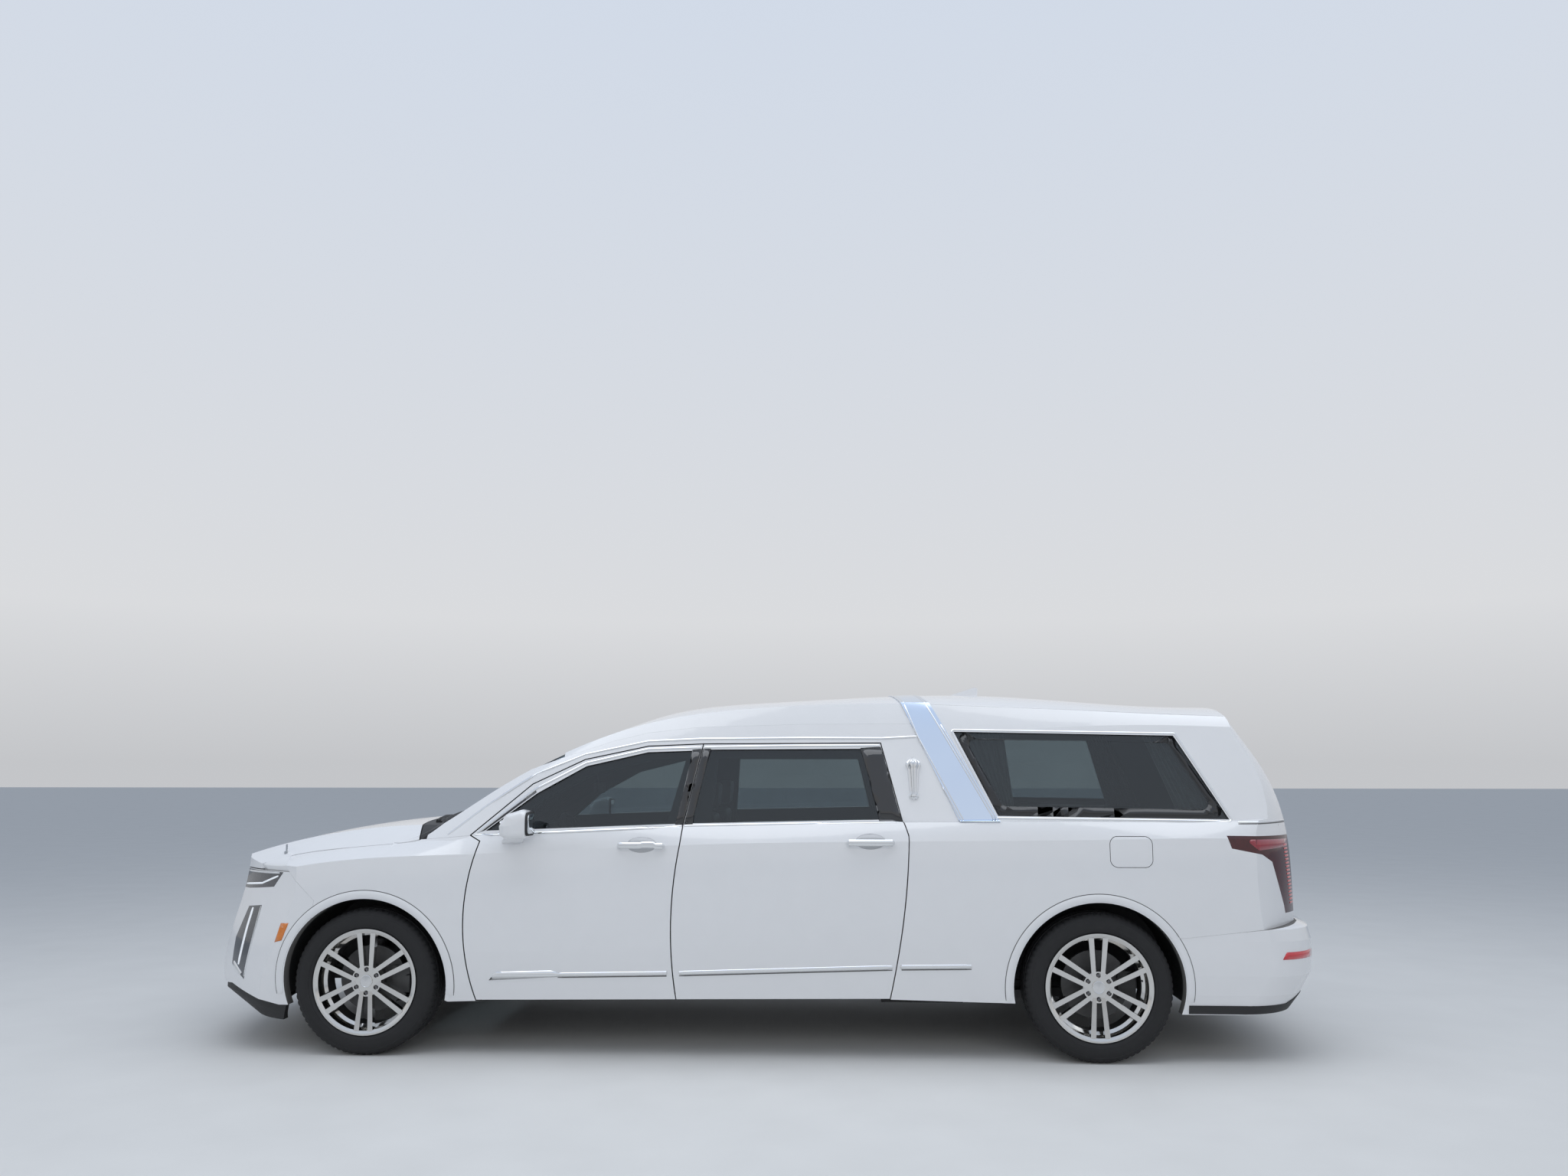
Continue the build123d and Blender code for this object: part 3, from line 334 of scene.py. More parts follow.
def from_front(tree):
    """Probe of (y, z) that finds the skin seen from the front."""

    def probe(y, z):
        return cast(tree, Vector((-3.6, y, z)), Vector((1, 0, 0)), 1.6, Vector((-2.9, y, z)))

    return probe


def from_back(tree):
    """Probe of (y, z) that finds the skin seen from behind."""

    def probe(y, z):
        return cast(tree, Vector((3.6, y, z)), Vector((-1, 0, 0)), 1.6, Vector((2.9, y, z)))

    return probe


def flat_at(x, hand):
    """Probe of (y, z) on an upright plane that faces backwards, on one side of the car."""

    def probe(y, z):
        return Vector((x, hand * y, z)), Vector((1, 0, 0))

    return probe


def turns(count):
    """Angles of a full turn in equal steps."""
    return [2 * math.pi * k / count for k in range(count)]


def ring_between(outer, inner):
    """Four-cornered faces between two closed outlines with the same count of points."""
    count = len(outer)
    return [
        [outer[i], outer[(i + 1) % count], inner[(i + 1) % count], inner[i]] for i in range(count)
    ]


def metres(points):
    """Pairs in metres from pairs in millimetres."""
    return [(a / 1000, b / 1000) for a, b in points]


def spaced(line, step, loop=False):
    """Points along a polyline no further apart than the step, its corners kept."""
    corners = list(line) + ([line[0]] if loop else [])
    out = []
    for (a, b), (c, d) in zip(corners, corners[1:]):
        count = max(1, math.ceil(math.hypot(c - a, d - b) / step))
        out += [(a + (c - a) * i / count, b + (d - b) * i / count) for i in range(count)]
    return out if loop else out + [corners[-1]]


def rounded(corners, radius, count=6):
    """Closed outline with its corners turned into arcs, count + 1 points for each."""
    out = []
    for i, corner in enumerate(corners):
        here = Vector(corner)
        before = (Vector(corners[i - 1]) - here).normalized()
        after = (Vector(corners[(i + 1) % len(corners)]) - here).normalized()
        half = before.angle(after) / 2
        reach = radius / math.tan(half)
        centre = here + (before + after).normalized() * (radius / math.sin(half))
        start, end = here + before * reach - centre, here + after * reach - centre
        turn = start.angle(end)
        for k in range(count + 1):
            t = k / count
            spot = (start * math.sin((1 - t) * turn) + end * math.sin(t * turn)) / math.sin(turn)
            out.append(tuple(centre + spot))
    return out


RIB = ((-0.5, -0.4), (-0.5, 0.35), (-0.32, 0.8), (0, 1), (0.32, 0.8), (0.5, 0.35), (0.5, -0.4))


def strip(name, line, width, proud, probe, finish, body, step=0.03, loop=False):
    """Low rounded moulding along a line on the skin that the probe finds."""
    hits = [probe(*p) for p in spaced(line, step, loop)]
    last = len(hits) - 1
    rows = []
    for i, (hit, normal) in enumerate(hits):
        ahead = hits[(i + 1) % len(hits) if loop else min(i + 1, last)][0]
        behind = hits[i - 1 if loop else max(i - 1, 0)][0]
        across = normal.cross(ahead - behind).normalized()
        share = 0.7 if not loop and i in (0, last) else 1.0
        rows.append([hit + across * (width * share * a) + normal * (proud * share * b) for a, b in RIB])
    return sweep(name, rows, finish, body, loop)


def patch(name, outlines, proud, probe, finish, body, cell=0.05, thick=0.0015):
    """Thin plate over outlines in the probe's plane, following the skin that it finds."""
    shape = bmesh.new()
    for outline in outlines:
        shape.faces.new([shape.verts.new((a, b, 0)) for a, b in outline])
    bmesh.ops.remove_doubles(shape, verts=shape.verts, dist=1e-5)
    for axis in (0, 1):
        low = min(v.co[axis] for v in shape.verts)
        high = max(v.co[axis] for v in shape.verts)
        count = math.ceil((high - low) / cell)
        way = Vector((1, 0, 0)) if axis == 0 else Vector((0, 1, 0))
        for i in range(1, count):
            everything = shape.verts[:] + shape.edges[:] + shape.faces[:]
            at = way * (low + (high - low) * i / count)
            bmesh.ops.bisect_plane(shape, geom=everything, plane_co=at, plane_no=way, dist=1e-6)
    normals = {}
    for v in shape.verts:
        hit, normal = probe(v.co.x, v.co.y)
        normals[v] = normal
        v.co = hit + normal * proud
    shape.normal_update()
    for face in shape.faces:
        if face.normal.dot(normals[face.verts[0]]) < 0:
            face.normal_flip()
    mesh = bpy.data.meshes.new(name)
    shape.to_mesh(mesh)
    shape.free()
    obj = placed(name, mesh, finish, body)
    solid = obj.modifiers.new("thickness", "SOLIDIFY")
    solid.thickness = thick
    solid.offset = -1
    return obj


def lathe(name, profile, centre, finish, body, segments=48, angle=0.6):
    """Ring or disc turned about the Y axis through the centre: profile of (y, radius) pairs."""
    rows = []
    for turn in turns(segments):
        rows.append([
            centre + Vector((r * math.cos(turn), y, r * math.sin(turn))) for y, r in profile
        ])
    return sweep(name, rows, finish, body, True, angle)


def tube(name, path, radius, finish, body, sides=10):
    """Round bar along a path of 3-D points."""
    path = [Vector(p) for p in path]
    rows = []
    for i, point in enumerate(path):
        along = (path[min(i + 1, len(path) - 1)] - path[max(i - 1, 0)]).normalized()
        first = along.orthogonal() if i == 0 else (first - along * first.dot(along))
        first.normalize()
        second = along.cross(first)
        rows.append([
            point + (first * math.cos(a) + second * math.sin(a)) * radius
            for a in turns(sides)
        ])
    return sweep(name, rows, finish, body)


def bright(name, line, width, proud, probe, body="car_body", step=0.03, loop=False):
    """Chrome moulding along a line."""
    return strip(name, line, width, proud, probe, chrome, body, step, loop)


def bright_tube(name, path, radius, body="car_body", sides=10):
    """Chrome bar along a path."""
    return tube(name, path, radius, chrome, body, sides)


def block(name, low, high, edge, finish):
    """Box with bevelled edges, fixed to the car's body."""
    shape = bmesh.new()
    bmesh.ops.create_cube(shape, size=1)
    size = [b - a for a, b in zip(low, high)]
    for v in shape.verts:
        v.co = Vector([a + s * (c + 0.5) for a, s, c in zip(low, size, v.co)])
    bmesh.ops.bevel(shape, geom=shape.edges[:], offset=edge, segments=3, profile=0.5, affect="EDGES")
    mesh = bpy.data.meshes.new(name)
    shape.to_mesh(mesh)
    shape.free()
    return placed(name, mesh, finish, "car_body")


# Mouldings, black window trims, handles and lamps of both sides

quarter_opening = [(1080, 1672), (1292, 1234), (2468, 1219), (2228, 1650)]
quarter_pane = [(1138, 1637), (1322, 1283), (2400, 1266), (2203, 1612)]
quarter_rim = [(1064, 1682), (1282, 1224), (2486, 1209), (2236, 1661)]
window_top_line = [(-1428, 1141), (-1138, 1368), (-876, 1506), (-546, 1580), (-264, 1589)]
drip_rail_line = [
    (-1596, 1130), (-1387, 1288), (-1137, 1452), (-886, 1553), (-550, 1622), (-268, 1634), (285, 1638),
    (700, 1636), (960, 1650),
]
ORNAMENT_X = 0.861
MIRROR_MIDDLE_Z = 1.195
HEADLAMP_TOP_Z = 0.9372
WING_TIP_INNER_Y = 0.8225
wing_tip_stations = [
    (-2.604, 0.8245, 0.9665, 0.9655), (-2.570, 0.8480, 0.9790, 0.9640), (-2.540, 0.8675, 0.9880, 0.9635),
    (-2.510, 0.8865, 0.9965, 0.9640), (-2.480, 0.9035, 1.0035, 0.9650), (-2.450, 0.9200, 1.0095, 0.9665),
    (-2.4185, 0.9365, 1.0130, 0.9680),
]
MIRROR_REAR_X = -1.112
MIRROR_GLASS_X = -1.103
INDICATOR_Z = 1.208
TAIL_RIBS = 17
TAIL_RIB_TOP_Z = 1.085
TAIL_RIB_STEP = 0.0185
ARCH_FROM = -8
ARCH_TURN = 196
mirror_section = [
    (-1.112, 1.124), (-1.112, 1.262), (-1.140, 1.271), (-1.222, 1.246), (-1.256, 1.188), (-1.252, 1.140),
    (-1.225, 1.122),
]
mirror_stations = [
    (0.995, 0.72), (1.005, 0.88), (1.025, 0.96), (1.060, 1.0), (1.110, 1.0), (1.138, 0.96), (1.154, 0.88),
    (1.163, 0.74), (1.167, 0.50),
]
mirror_foot = [
    (-1.232, 0.952, 1.088, 0.056, 0.026), (-1.222, 0.985, 1.104, 0.056, 0.030),
    (-1.205, 1.022, 1.122, 0.052, 0.034), (-1.190, 1.050, 1.142, 0.048, 0.036),
]
ornament_stations = [
    (1.315, 0.010, 0.008), (1.322, 0.024, 0.016), (1.336, 0.028, 0.020), (1.346, 0.021, 0.017),
    (1.362, 0.023, 0.019), (1.468, 0.031, 0.025), (1.480, 0.034, 0.028), (1.490, 0.041, 0.032),
    (1.504, 0.041, 0.032), (1.514, 0.032, 0.027), (1.525, 0.018, 0.018), (1.532, 0.007, 0.008),
]


def handle(name, start_x, end_x, z, probe, body):
    """Bright pull handle over a cup of painted shade: a grey patch where the recess would be shaded."""
    middle = (start_x + end_x) / 2
    cup = [
        (middle + 0.078 * math.cos(a), z + 0.006 + 0.040 * math.sin(a))
        for a in turns(28)
    ]
    patch(f"{name}_cup", [cup], 0.0008, probe, cup_painted_shade, body, 0.03)
    rows = []
    for i in range(23):
        t = i / 22
        x = start_x + (end_x - start_x) * t
        hit, normal = probe(x, z)
        lift = 0.012 + 0.026 * math.sin(math.pi * t) ** 0.5
        thick, high = (0.011, 0.017) if 0 < i < 22 else (0.004, 0.007)
        rows.append([
            hit + normal * (lift + thick * math.cos(a)) + Vector((0, 0, high * math.sin(a)))
            for a in turns(14)
        ])
    sweep(name, rows, chrome, body)
    for x in (start_x + 0.012, end_x - 0.012):
        hit, normal = probe(x, z)
        foot = [hit - normal * 0.004, hit + normal * 0.016]
        bright_tube(f"{name}_foot_{round(abs(x) * 1000)}", foot, 0.011, body)


for side, hand in SIDES:
    front_door, rear_door = f"door_front_{side}", f"door_rear_{side}"
    on_front = from_side(tree_of(front_door), hand)
    on_rear = from_side(tree_of(rear_door), hand)
    on_rail = from_side(tree_of(f"roof_rail_{side}"), hand)
    on_quarter = from_side(tree_of(f"quarter_{side}"), hand)
    on_glass = from_side(tree_of("fixed_glass"), hand)
    on_tail = from_side(tree_of(f"quarter_{side}", "rear_bumper"), hand)
    on_nose = from_side(tree_of(f"wing_{side}", "front_bumper"), hand)
    on_lamps = from_side(tree_of("headlamps"), hand)
    on_tail_lamps = from_side(tree_of("tail_lamps"), hand)
    mouldings = [
        ("belt_front", [(-1438, 1130), (-1112, 1143), (-353, 1178)], 14, on_front, front_door),
        ("belt_rear", [(-334, 1179), (200, 1190), (800, 1202)], 14, on_rear, rear_door),
        ("window_top_front", window_top_line, 13, on_front, front_door),
        ("window_top_rear", [(-244, 1590), (200, 1597), (686, 1599)], 13, on_rear, rear_door),
        ("drip_rail", drip_rail_line, 13, on_rail, "car_body"),
        ("sill_front", [(-980, 423), (-387, 435)], 22, on_front, front_door),
        ("sill_rear", [(-352, 436), (200, 455), (738, 473)], 22, on_rear, rear_door),
        ("sill_quarter", [(756, 474), (1138, 480)], 22, on_quarter, "car_body"),
    ]
    for name, line, width, probe, body in mouldings:
        proud = 0.009 if name.startswith("sill") else 0.004
        bright(f"{name}_moulding_{side}", metres(line), width / 1000, proud, probe, body)
        if name.startswith("sill"):
            below = metres([(x, z - 15) for x, z in line])
            strip(f"{name}_shadow_{side}", below, 0.006, 0.0008, probe, line_dark, body)
    seam = [(2.502, 1.198), (2.842, 1.203)]
    strip(
        f"quarter_seam_{side}", seam, 0.006, 0.0015, on_quarter, line_dark, "car_body", 0.008
    )
    lip = [(x, z + 0.008) for x, z in seam]
    bright(f"quarter_seam_lip_{side}", lip, 0.008, 0.003, on_quarter, step=0.008)
    wedge = [(-1339, 391), (-1299, 435), (-1016, 445), (-967, 431), (-967, 414)]
    patch(
        f"sill_wedge_{side}", [metres(wedge)], 0.004, on_front, chrome, front_door, 0.04, 0.005
    )
    blacks = [
        ("front", [(-384, 1186), (-346, 1186), (-259, 1582), (-309, 1577)], on_front, front_door),
        ("rear", [(-338, 1187), (-292, 1188), (-209, 1582), (-251, 1583)], on_rear, rear_door),
        ("tail", [(678, 1208), (800, 1210), (703, 1593), (585, 1586)], on_rear, rear_door),
        ("nose", [(-1430, 1140), (-1388, 1154), (-1130, 1352), (-1136, 1362)], on_front, front_door),
    ]
    for name, outline, probe, body in blacks:
        name = f"pillar_black_{name}_{side}"
        patch(name, [metres(outline)], 0.0012, probe, gloss_black, body, 0.06)
    outer, inner = rounded(metres(quarter_opening), 0.045), rounded(metres(quarter_pane), 0.035)
    patch(
        f"quarter_frit_{side}", ring_between(outer, inner), 0.0006, on_glass, frit_black, "car_body",
        0.08, 0.0012,
    )
    rim = rounded(metres(quarter_rim), 0.012)
    bright(f"quarter_rim_{side}", rim, 0.010, 0.003, on_quarter, step=0.05, loop=True)
    handle(f"handle_front_{side}", -0.673, -0.426, 1.080, on_front, front_door)
    handle(f"handle_rear_{side}", 0.509, 0.753, 1.100, on_rear, rear_door)

    for axle, axle_x in AXLES:
        probe = on_nose if axle == "front" else on_tail
        for name, radius, width, proud, finish in (
            ("arch_flare", 0.4535, 0.036, 0.006, whole_paint),
            ("arch_line", 0.4735, 0.004, 0.0006, line_dark),
        ):
            angles = [math.radians(ARCH_FROM + ARCH_TURN * k / 80) for k in range(81)]
            arc = [(axle_x + radius * math.cos(a), HUB_Z + radius * math.sin(a)) for a in angles]
            strip(f"{name}_{axle}_{side}", arc, width, proud, probe, finish, "car_body", 0.05)

    rows = []
    for z, half, depth in ornament_stations:
        hit, normal = on_rail(ORNAMENT_X, z)
        row = []
        for k in range(25):
            a = math.pi * k / 24
            flute = 1 - 0.20 * math.cos(8 * a)
            out = depth * math.sin(a) * flute - 0.002
            row.append(hit + Vector((half * math.cos(a), 0, 0)) + normal * out)
        rows.append(row)
    sweep(f"ornament_{side}", rows, chrome, "car_body", angle=0.9)

    reflector = [(2690, 524), (2886, 524), (2892, 560), (2712, 560)]
    patch(
        f"reflector_{side}", [metres(reflector)], 0.002, on_tail, red_strip, "car_body", 0.03,
        0.003,
    )
    marker = [(-2471, 576), (-2432, 587), (-2396, 676), (-2440, 675)]
    patch(f"side_marker_{side}", [metres(marker)], 0.002, on_nose, amber, "car_body", 0.03, 0.003)
    for name, line, width, proud in (
        ("upright_light", [(-2662, 738), (-2688, 640), (-2712, 520), (-2728, 440)], 0.020, 0.004),
        ("headlamp_light", [(-2490, 912), (-2610, 868), (-2760, 852)], 0.010, 0.003),
    ):
        strip(f"{name}_{side}", metres(line), width, proud, on_lamps, lamp_white, "car_body")
    for name, line, width, proud, step in (
        ("upright_light_foot", [(-2700, 392), (-2770, 446)], 0.026, 0.006, 0.02),
        ("upright_light_rim", [(-2598, 750), (-2676, 384)], 0.008, 0.004, 0.03),
        ("headlamp_brow", [(-2480, 928), (-2760, 922)], 0.009, 0.003, 0.03),
    ):
        bright(f"{name}_{side}", metres(line), width, proud, on_lamps, step=step)
    glow = rounded(metres([(2520, 1122), (2806, 1116), (2800, 1078), (2590, 1066)]), 0.012)
    patch(f"tail_glow_{side}", [glow], 0.0015, on_tail_lamps, red_glow, "car_body", 0.03, 0.002)
    for k in range(TAIL_RIBS):
        z = TAIL_RIB_TOP_Z - TAIL_RIB_STEP * k
        x = 2.782 + 0.034 * (1.096 - z) / 0.332
        strip(
            f"tail_rib_{side}_{k}", [(x - 0.018, z), (x + 0.014, z)], 0.010, 0.003, on_tail_lamps, red_strip,
            "car_body", 0.01,
        )

    rows = []
    for y, share in mirror_stations:
        rows.append([
            Vector((
                MIRROR_REAR_X + (x - MIRROR_REAR_X) * share, hand * y,
                MIRROR_MIDDLE_Z + (z - MIRROR_MIDDLE_Z) * share,
            ))
            for x, z in rounded(mirror_section, 0.012, 4)
        ])
    head = sweep(f"mirror_head_{side}", rows, whole_paint, front_door, angle=0.9)
    rows = []
    for x, y, z, long, deep in mirror_foot:
        rows.append([
            Vector((x + long * math.cos(a), hand * (y + deep * math.sin(a)), z))
            for a in turns(24)
        ])
    sweep(f"mirror_foot_{side}", rows, whole_paint, front_door, angle=0.9)
    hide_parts(f"mirror_{side}")
    mirror = tree_of(f"mirror_{side}")
    face = rounded([(1.022, 1.146), (1.150, 1.150), (1.150, 1.244), (1.022, 1.252)], 0.026)
    bezel = rounded([(1.012, 1.136), (1.160, 1.140), (1.160, 1.254), (1.012, 1.262)], 0.032)
    on_mirror = flat_at(MIRROR_GLASS_X, hand)
    for name, outline, lift, finish, thick in (
        ("mirror_bezel", bezel, 0.0015, moulded_black, 0.03),
        ("mirror_glass", face, 0.003, mirror_face, 0.002),
    ):
        patch(f"{name}_{side}", [outline], lift, on_mirror, finish, front_door, 0.05, thick)
    rows = []
    for y in (1.03, 1.06, 1.09, 1.12, 1.15):
        ahead, near = Vector((-1.6, hand * y, INDICATOR_Z)), Vector((-1.25, hand * y, INDICATOR_Z))
        hit, normal = cast(mirror, ahead, Vector((1, 0, 0)), 0.6, near)
        rows.append([
            hit + Vector((0, 0, 0.006 * math.cos(a))) + normal * (0.004 * math.sin(a)) for a in turns(8)
        ])
    sweep(f"mirror_indicator_{side}", rows, lamp_white, front_door)

    rows = []
    for x, outer_y, top_z, crease_z in wing_tip_stations:
        width = outer_y - WING_TIP_INNER_Y
        shoulder_z = (top_z + crease_z) / 2 + 0.04 * width
        section = [
            (WING_TIP_INNER_Y, top_z), (WING_TIP_INNER_Y + width / 2, shoulder_z),
            (outer_y - 0.004, crease_z + 0.0015), (outer_y, crease_z - 0.003), (outer_y, HEADLAMP_TOP_Z),
            (outer_y - 0.008, HEADLAMP_TOP_Z), (outer_y - 0.010, crease_z - 0.012),
            (WING_TIP_INNER_Y, top_z - 0.014),
        ]
        rows.append([Vector((x - 0.6 * (z - HEADLAMP_TOP_Z), hand * y, z)) for y, z in section])
    sweep(f"wing_tip_{side}", rows, whole_paint, "car_body", angle=0.9)

    on_bonnet = from_above(tree_of("bonnet"))
    spot, _ = on_bonnet(-2.512, hand * 0.78)
    foot = spot - Vector((0, 0, 0.004))
    bright_tube(f"flag_pin_{side}", [foot, spot + Vector((0, 0, 0.045))], 0.006, "bonnet")
    bright_tube(f"flag_pin_base_{side}", [foot, spot + Vector((0, 0, 0.008))], 0.013, "bonnet", 16)

    on_screen = from_above(tree_of("fixed_glass", "cowl"))
    y0, y1 = (-0.62, -0.06) if hand < 0 else (0.05, 0.66)
    blade = [(-1.735 + 0.05 * (k / 8 - 0.5) ** 2, y0 + (y1 - y0) * k / 8) for k in range(9)]
    arm = [(-1.765, y0 + 0.05), (-1.745, (y0 + y1) / 2)]
    for name, line, width, proud, step in (
        ("wiper_blade", blade, 0.016, 0.016, 0.04), ("wiper_arm", arm, 0.020, 0.026, 0.05),
    ):
        strip(
            f"{name}_{side}", line, width, proud, on_screen, moulded_black, "car_body", step
        )

# Edge beads of the landau band, over the roof from belt to belt
band_tree = tree_of("landau_band")


def band_edge(foot, knee, top):
    """X of a band edge at a height, in metres."""

    def x_at(z):
        for (x0, z0), (x1, z1) in ((foot, knee), (knee, top)):
            if z <= z1 or (x1, z1) == top:
                return x0 + (x1 - x0) * (z - z0) / (z1 - z0)

    return x_at


for name, x_at, inward in (
    ("front", band_edge((1.091, 1.208), (0.865, 1.648), (0.757, 1.932)), 1),
    ("rear", band_edge((1.297, 1.208), (0.939, 1.861), (0.900, 1.932)), -1),
):
    for number, set_in in ((1, 0.010), (2, 0.024)):
        rows = []
        for k in range(91):
            turn = math.pi * (k / 90)
            way = Vector((0, -math.cos(turn), -math.sin(turn)))
            z = 1.22
            for _ in range(5):
                start = Vector((x_at(z) + inward * set_in, 0, 1.216)) - way * 1.6
                hit, normal = cast(band_tree, start, way, 1.59, start + way * 0.75)
                z = hit.z
            rows.append((hit, normal))
        last = len(rows) - 1
        loops = []
        for i, (hit, normal) in enumerate(rows):
            across = normal.cross(rows[min(i + 1, last)][0] - rows[max(i - 1, 0)][0]).normalized()
            loops.append([hit + across * (0.007 * a) + normal * (0.0025 * b) for a, b in RIB])
        sweep(f"band_bead_{name}_{number}", loops, chrome, "car_body")

# Grille: surround, upright bars and cross bars, with a blank plate below
on_grille = from_front(tree_of("grille"))
on_bumper = from_front(tree_of("front_bumper", "grille"))
GRILLE_KNEE_Z = 0.76
GRILLE_FOOT_Z = 0.42
GRILLE_BARS = 15
UPRIGHT_STEP = 0.055
grille_outline = [(430, 900), (520, 760), (330, 420)]
right_half = [(y - 6, z) for y, z in grille_outline]
left_half = [(6 - y, z) for y, z in reversed(grille_outline)]
bright("grille_surround", metres(right_half + left_half), 0.024, 0.010, on_grille, loop=True)


def grille_half_width(z):
    """Half of the grille's width at a height: widest at its knee."""
    if z > GRILLE_KNEE_Z:
        return 0.52 - (z - GRILLE_KNEE_Z) * 0.09 / 0.14
    return 0.33 + (z - GRILLE_FOOT_Z) * 0.19 / 0.34


for k in range(GRILLE_BARS):
    z = 0.445 + 0.030 * k
    half = grille_half_width(z) - 0.022
    finish = chrome if k % 3 == 1 else gloss_black
    line = [(-half, z), (half, z)]
    strip(
        f"grille_bar_{k}", line, 0.010, 0.008, on_grille, finish, "car_body", 0.06
    )
for k in range(-8, 9):
    y = UPRIGHT_STEP * k
    tall = [z / 1000 for z in range(440, 890, 10) if grille_half_width(z / 1000) - 0.02 > abs(y)]
    if len(tall) > 3:
        line = [(y, tall[0]), (y, tall[-1])]
        strip(
            f"grille_upright_{k + 8}", line, 0.007, 0.006, on_grille, gloss_black, "car_body",
            0.05,
        )
plate = [(-0.15, 0.315), (0.15, 0.315), (0.15, 0.400), (-0.15, 0.400)]
outline = rounded(plate, 0.008, 3)
patch("front_plate", [outline], 0.0015, on_bumper, blank_plate, "car_body", 0.05, 0.006)
bright("nose_moulding", [(-0.62, 0.352), (-0.22, 0.345)], 0.016, 0.005, on_bumper, step=0.05)
bright("nose_moulding_right", [(0.22, 0.345), (0.62, 0.352)], 0.016, 0.005, on_bumper, step=0.05)

# Rear door trims
on_gate = from_back(tree_of("rear_door"))
plate = [(-0.165, 0.800), (0.165, 0.800), (0.165, 0.955), (-0.165, 0.955)]
recess = rounded([(-0.21, 0.775), (0.21, 0.775), (0.21, 0.99), (-0.21, 0.99)], 0.02)
# grey patch round the plate: painted shade of a recess
patch("rear_plate_recess", [recess], 0.001, on_gate, cup_painted_shade, "rear_door", 0.06)
outline = rounded(plate, 0.01, 3)
patch("rear_plate", [outline], 0.005, on_gate, blank_plate, "rear_door", 0.06, 0.004)
bright("rear_plate_moulding", [(-0.24, 1.004), (0.24, 1.004)], 0.026, 0.010, on_gate, "rear_door", 0.05)
bright("rear_door_handle", [(0.40, 1.060), (0.53, 1.060)], 0.030, 0.026, on_gate, "rear_door")
pane = rounded([(-0.470, 1.200), (0.470, 1.200), (0.470, 1.600), (-0.470, 1.600)], 0.04)
light = rounded([(-0.430, 1.235), (0.430, 1.235), (0.430, 1.565), (-0.430, 1.565)], 0.03)
patch(
    "rear_door_frit", ring_between(pane, light), 0.0006, from_back(tree_of("rear_door_glass")), frit_black,
    "rear_door", 0.08, 0.0012,
)
rim = rounded([(-0.484, 1.188), (0.484, 1.188), (0.484, 1.612), (-0.484, 1.612)], 0.045)
bright("rear_window_rim", rim, 0.010, 0.003, on_gate, "rear_door", 0.05, True)
line = [(-0.16, 1.664), (0.16, 1.664)]
strip("high_brake_lamp", line, 0.020, 0.006, on_gate, red_strip, "rear_door", 0.04)

# Rear valance, round the bumper from arch to arch: a place, a turn and a top for each station

VALANCE_FOOT_Z = 0.250
VALANCE_SIDE_Z = 0.292
VALANCE_REAR_Z = 0.392
CORNER_X, CORNER_Y = 2.55, 0.55
bumper_tree = tree_of("rear_bumper")
stations = [((2.225 + 0.04 * k, 0.5), 90, VALANCE_SIDE_Z) for k in range(9)]
for k in range(1, 19):
    rise = max(0.0, (k - 6) / 12)
    stations.append(((CORNER_X, CORNER_Y), 90 - 5 * k, VALANCE_SIDE_Z + 0.10 * rise))
stations += [((CORNER_X, CORNER_Y - 0.05 * k), 0, VALANCE_REAR_Z) for k in range(1, 11)]
stations += [((x, -y), -turn, high) for (x, y), turn, high in reversed(stations)]
rows = []
for (x, y), turn, high in stations:
    way = Vector((math.cos(math.radians(turn)), math.sin(math.radians(turn)), 0))
    hits = []
    for k in range(5):
        middle = Vector((x, y, VALANCE_FOOT_Z + (high - VALANCE_FOOT_Z) * k / 4))
        hits.append(cast(bumper_tree, middle + way * 1.3, -way, 1.3, middle + way * 0.45))
    outside = [hit + normal * 0.004 for hit, normal in hits]
    rows.append(outside + [hit - normal * 0.003 for hit, normal in reversed(hits)])
sweep("rear_valance", rows, moulded_black, "car_body", angle=0.9)

# Tyres with tread and ribbed flanks, and the nuts and cap of each wheel

tyre_profile = [
    (-0.090, 0.2575), (-0.0965, 0.2640), (-0.0985, 0.2725), (-0.1075, 0.2790), (-0.1125, 0.2900),
    (-0.1135, 0.2930), (-0.1150, 0.2935), (-0.1172, 0.3080), (-0.1174, 0.3200), (-0.1166, 0.3320),
    (-0.1140, 0.3420), (-0.1148, 0.3440), (-0.1110, 0.3520), (-0.1040, 0.3620), (-0.0960, 0.3690),
    (-0.0800, 0.3725), (-0.0600, 0.3732), (-0.0590, 0.3665), (-0.0510, 0.3665), (-0.0500, 0.3736),
    (-0.0180, 0.3740), (-0.0170, 0.3665), (-0.0090, 0.3665), (-0.0080, 0.3740), (0.0, 0.3740),
]
tyre_profile += [(-y, r) for y, r in reversed(tyre_profile[:-1])]
TREAD_BLOCKS = 70
GROOVE_DEPTH = 0.0045
SHOULDER_Y = 0.055
SHOULDER_RADIUS = 0.355
NUT_CIRCLE = 0.060
nut_profile = [(0.062, 0.0005), (0.062, 0.0102), (0.076, 0.0100), (0.080, 0.0072), (0.081, 0.0005)]
cap_profile = [
    (0.082, 0.0005), (0.082, 0.0325), (0.0865, 0.0325), (0.0885, 0.0290), (0.0872, 0.0270), (0.0890, 0.0005),
]


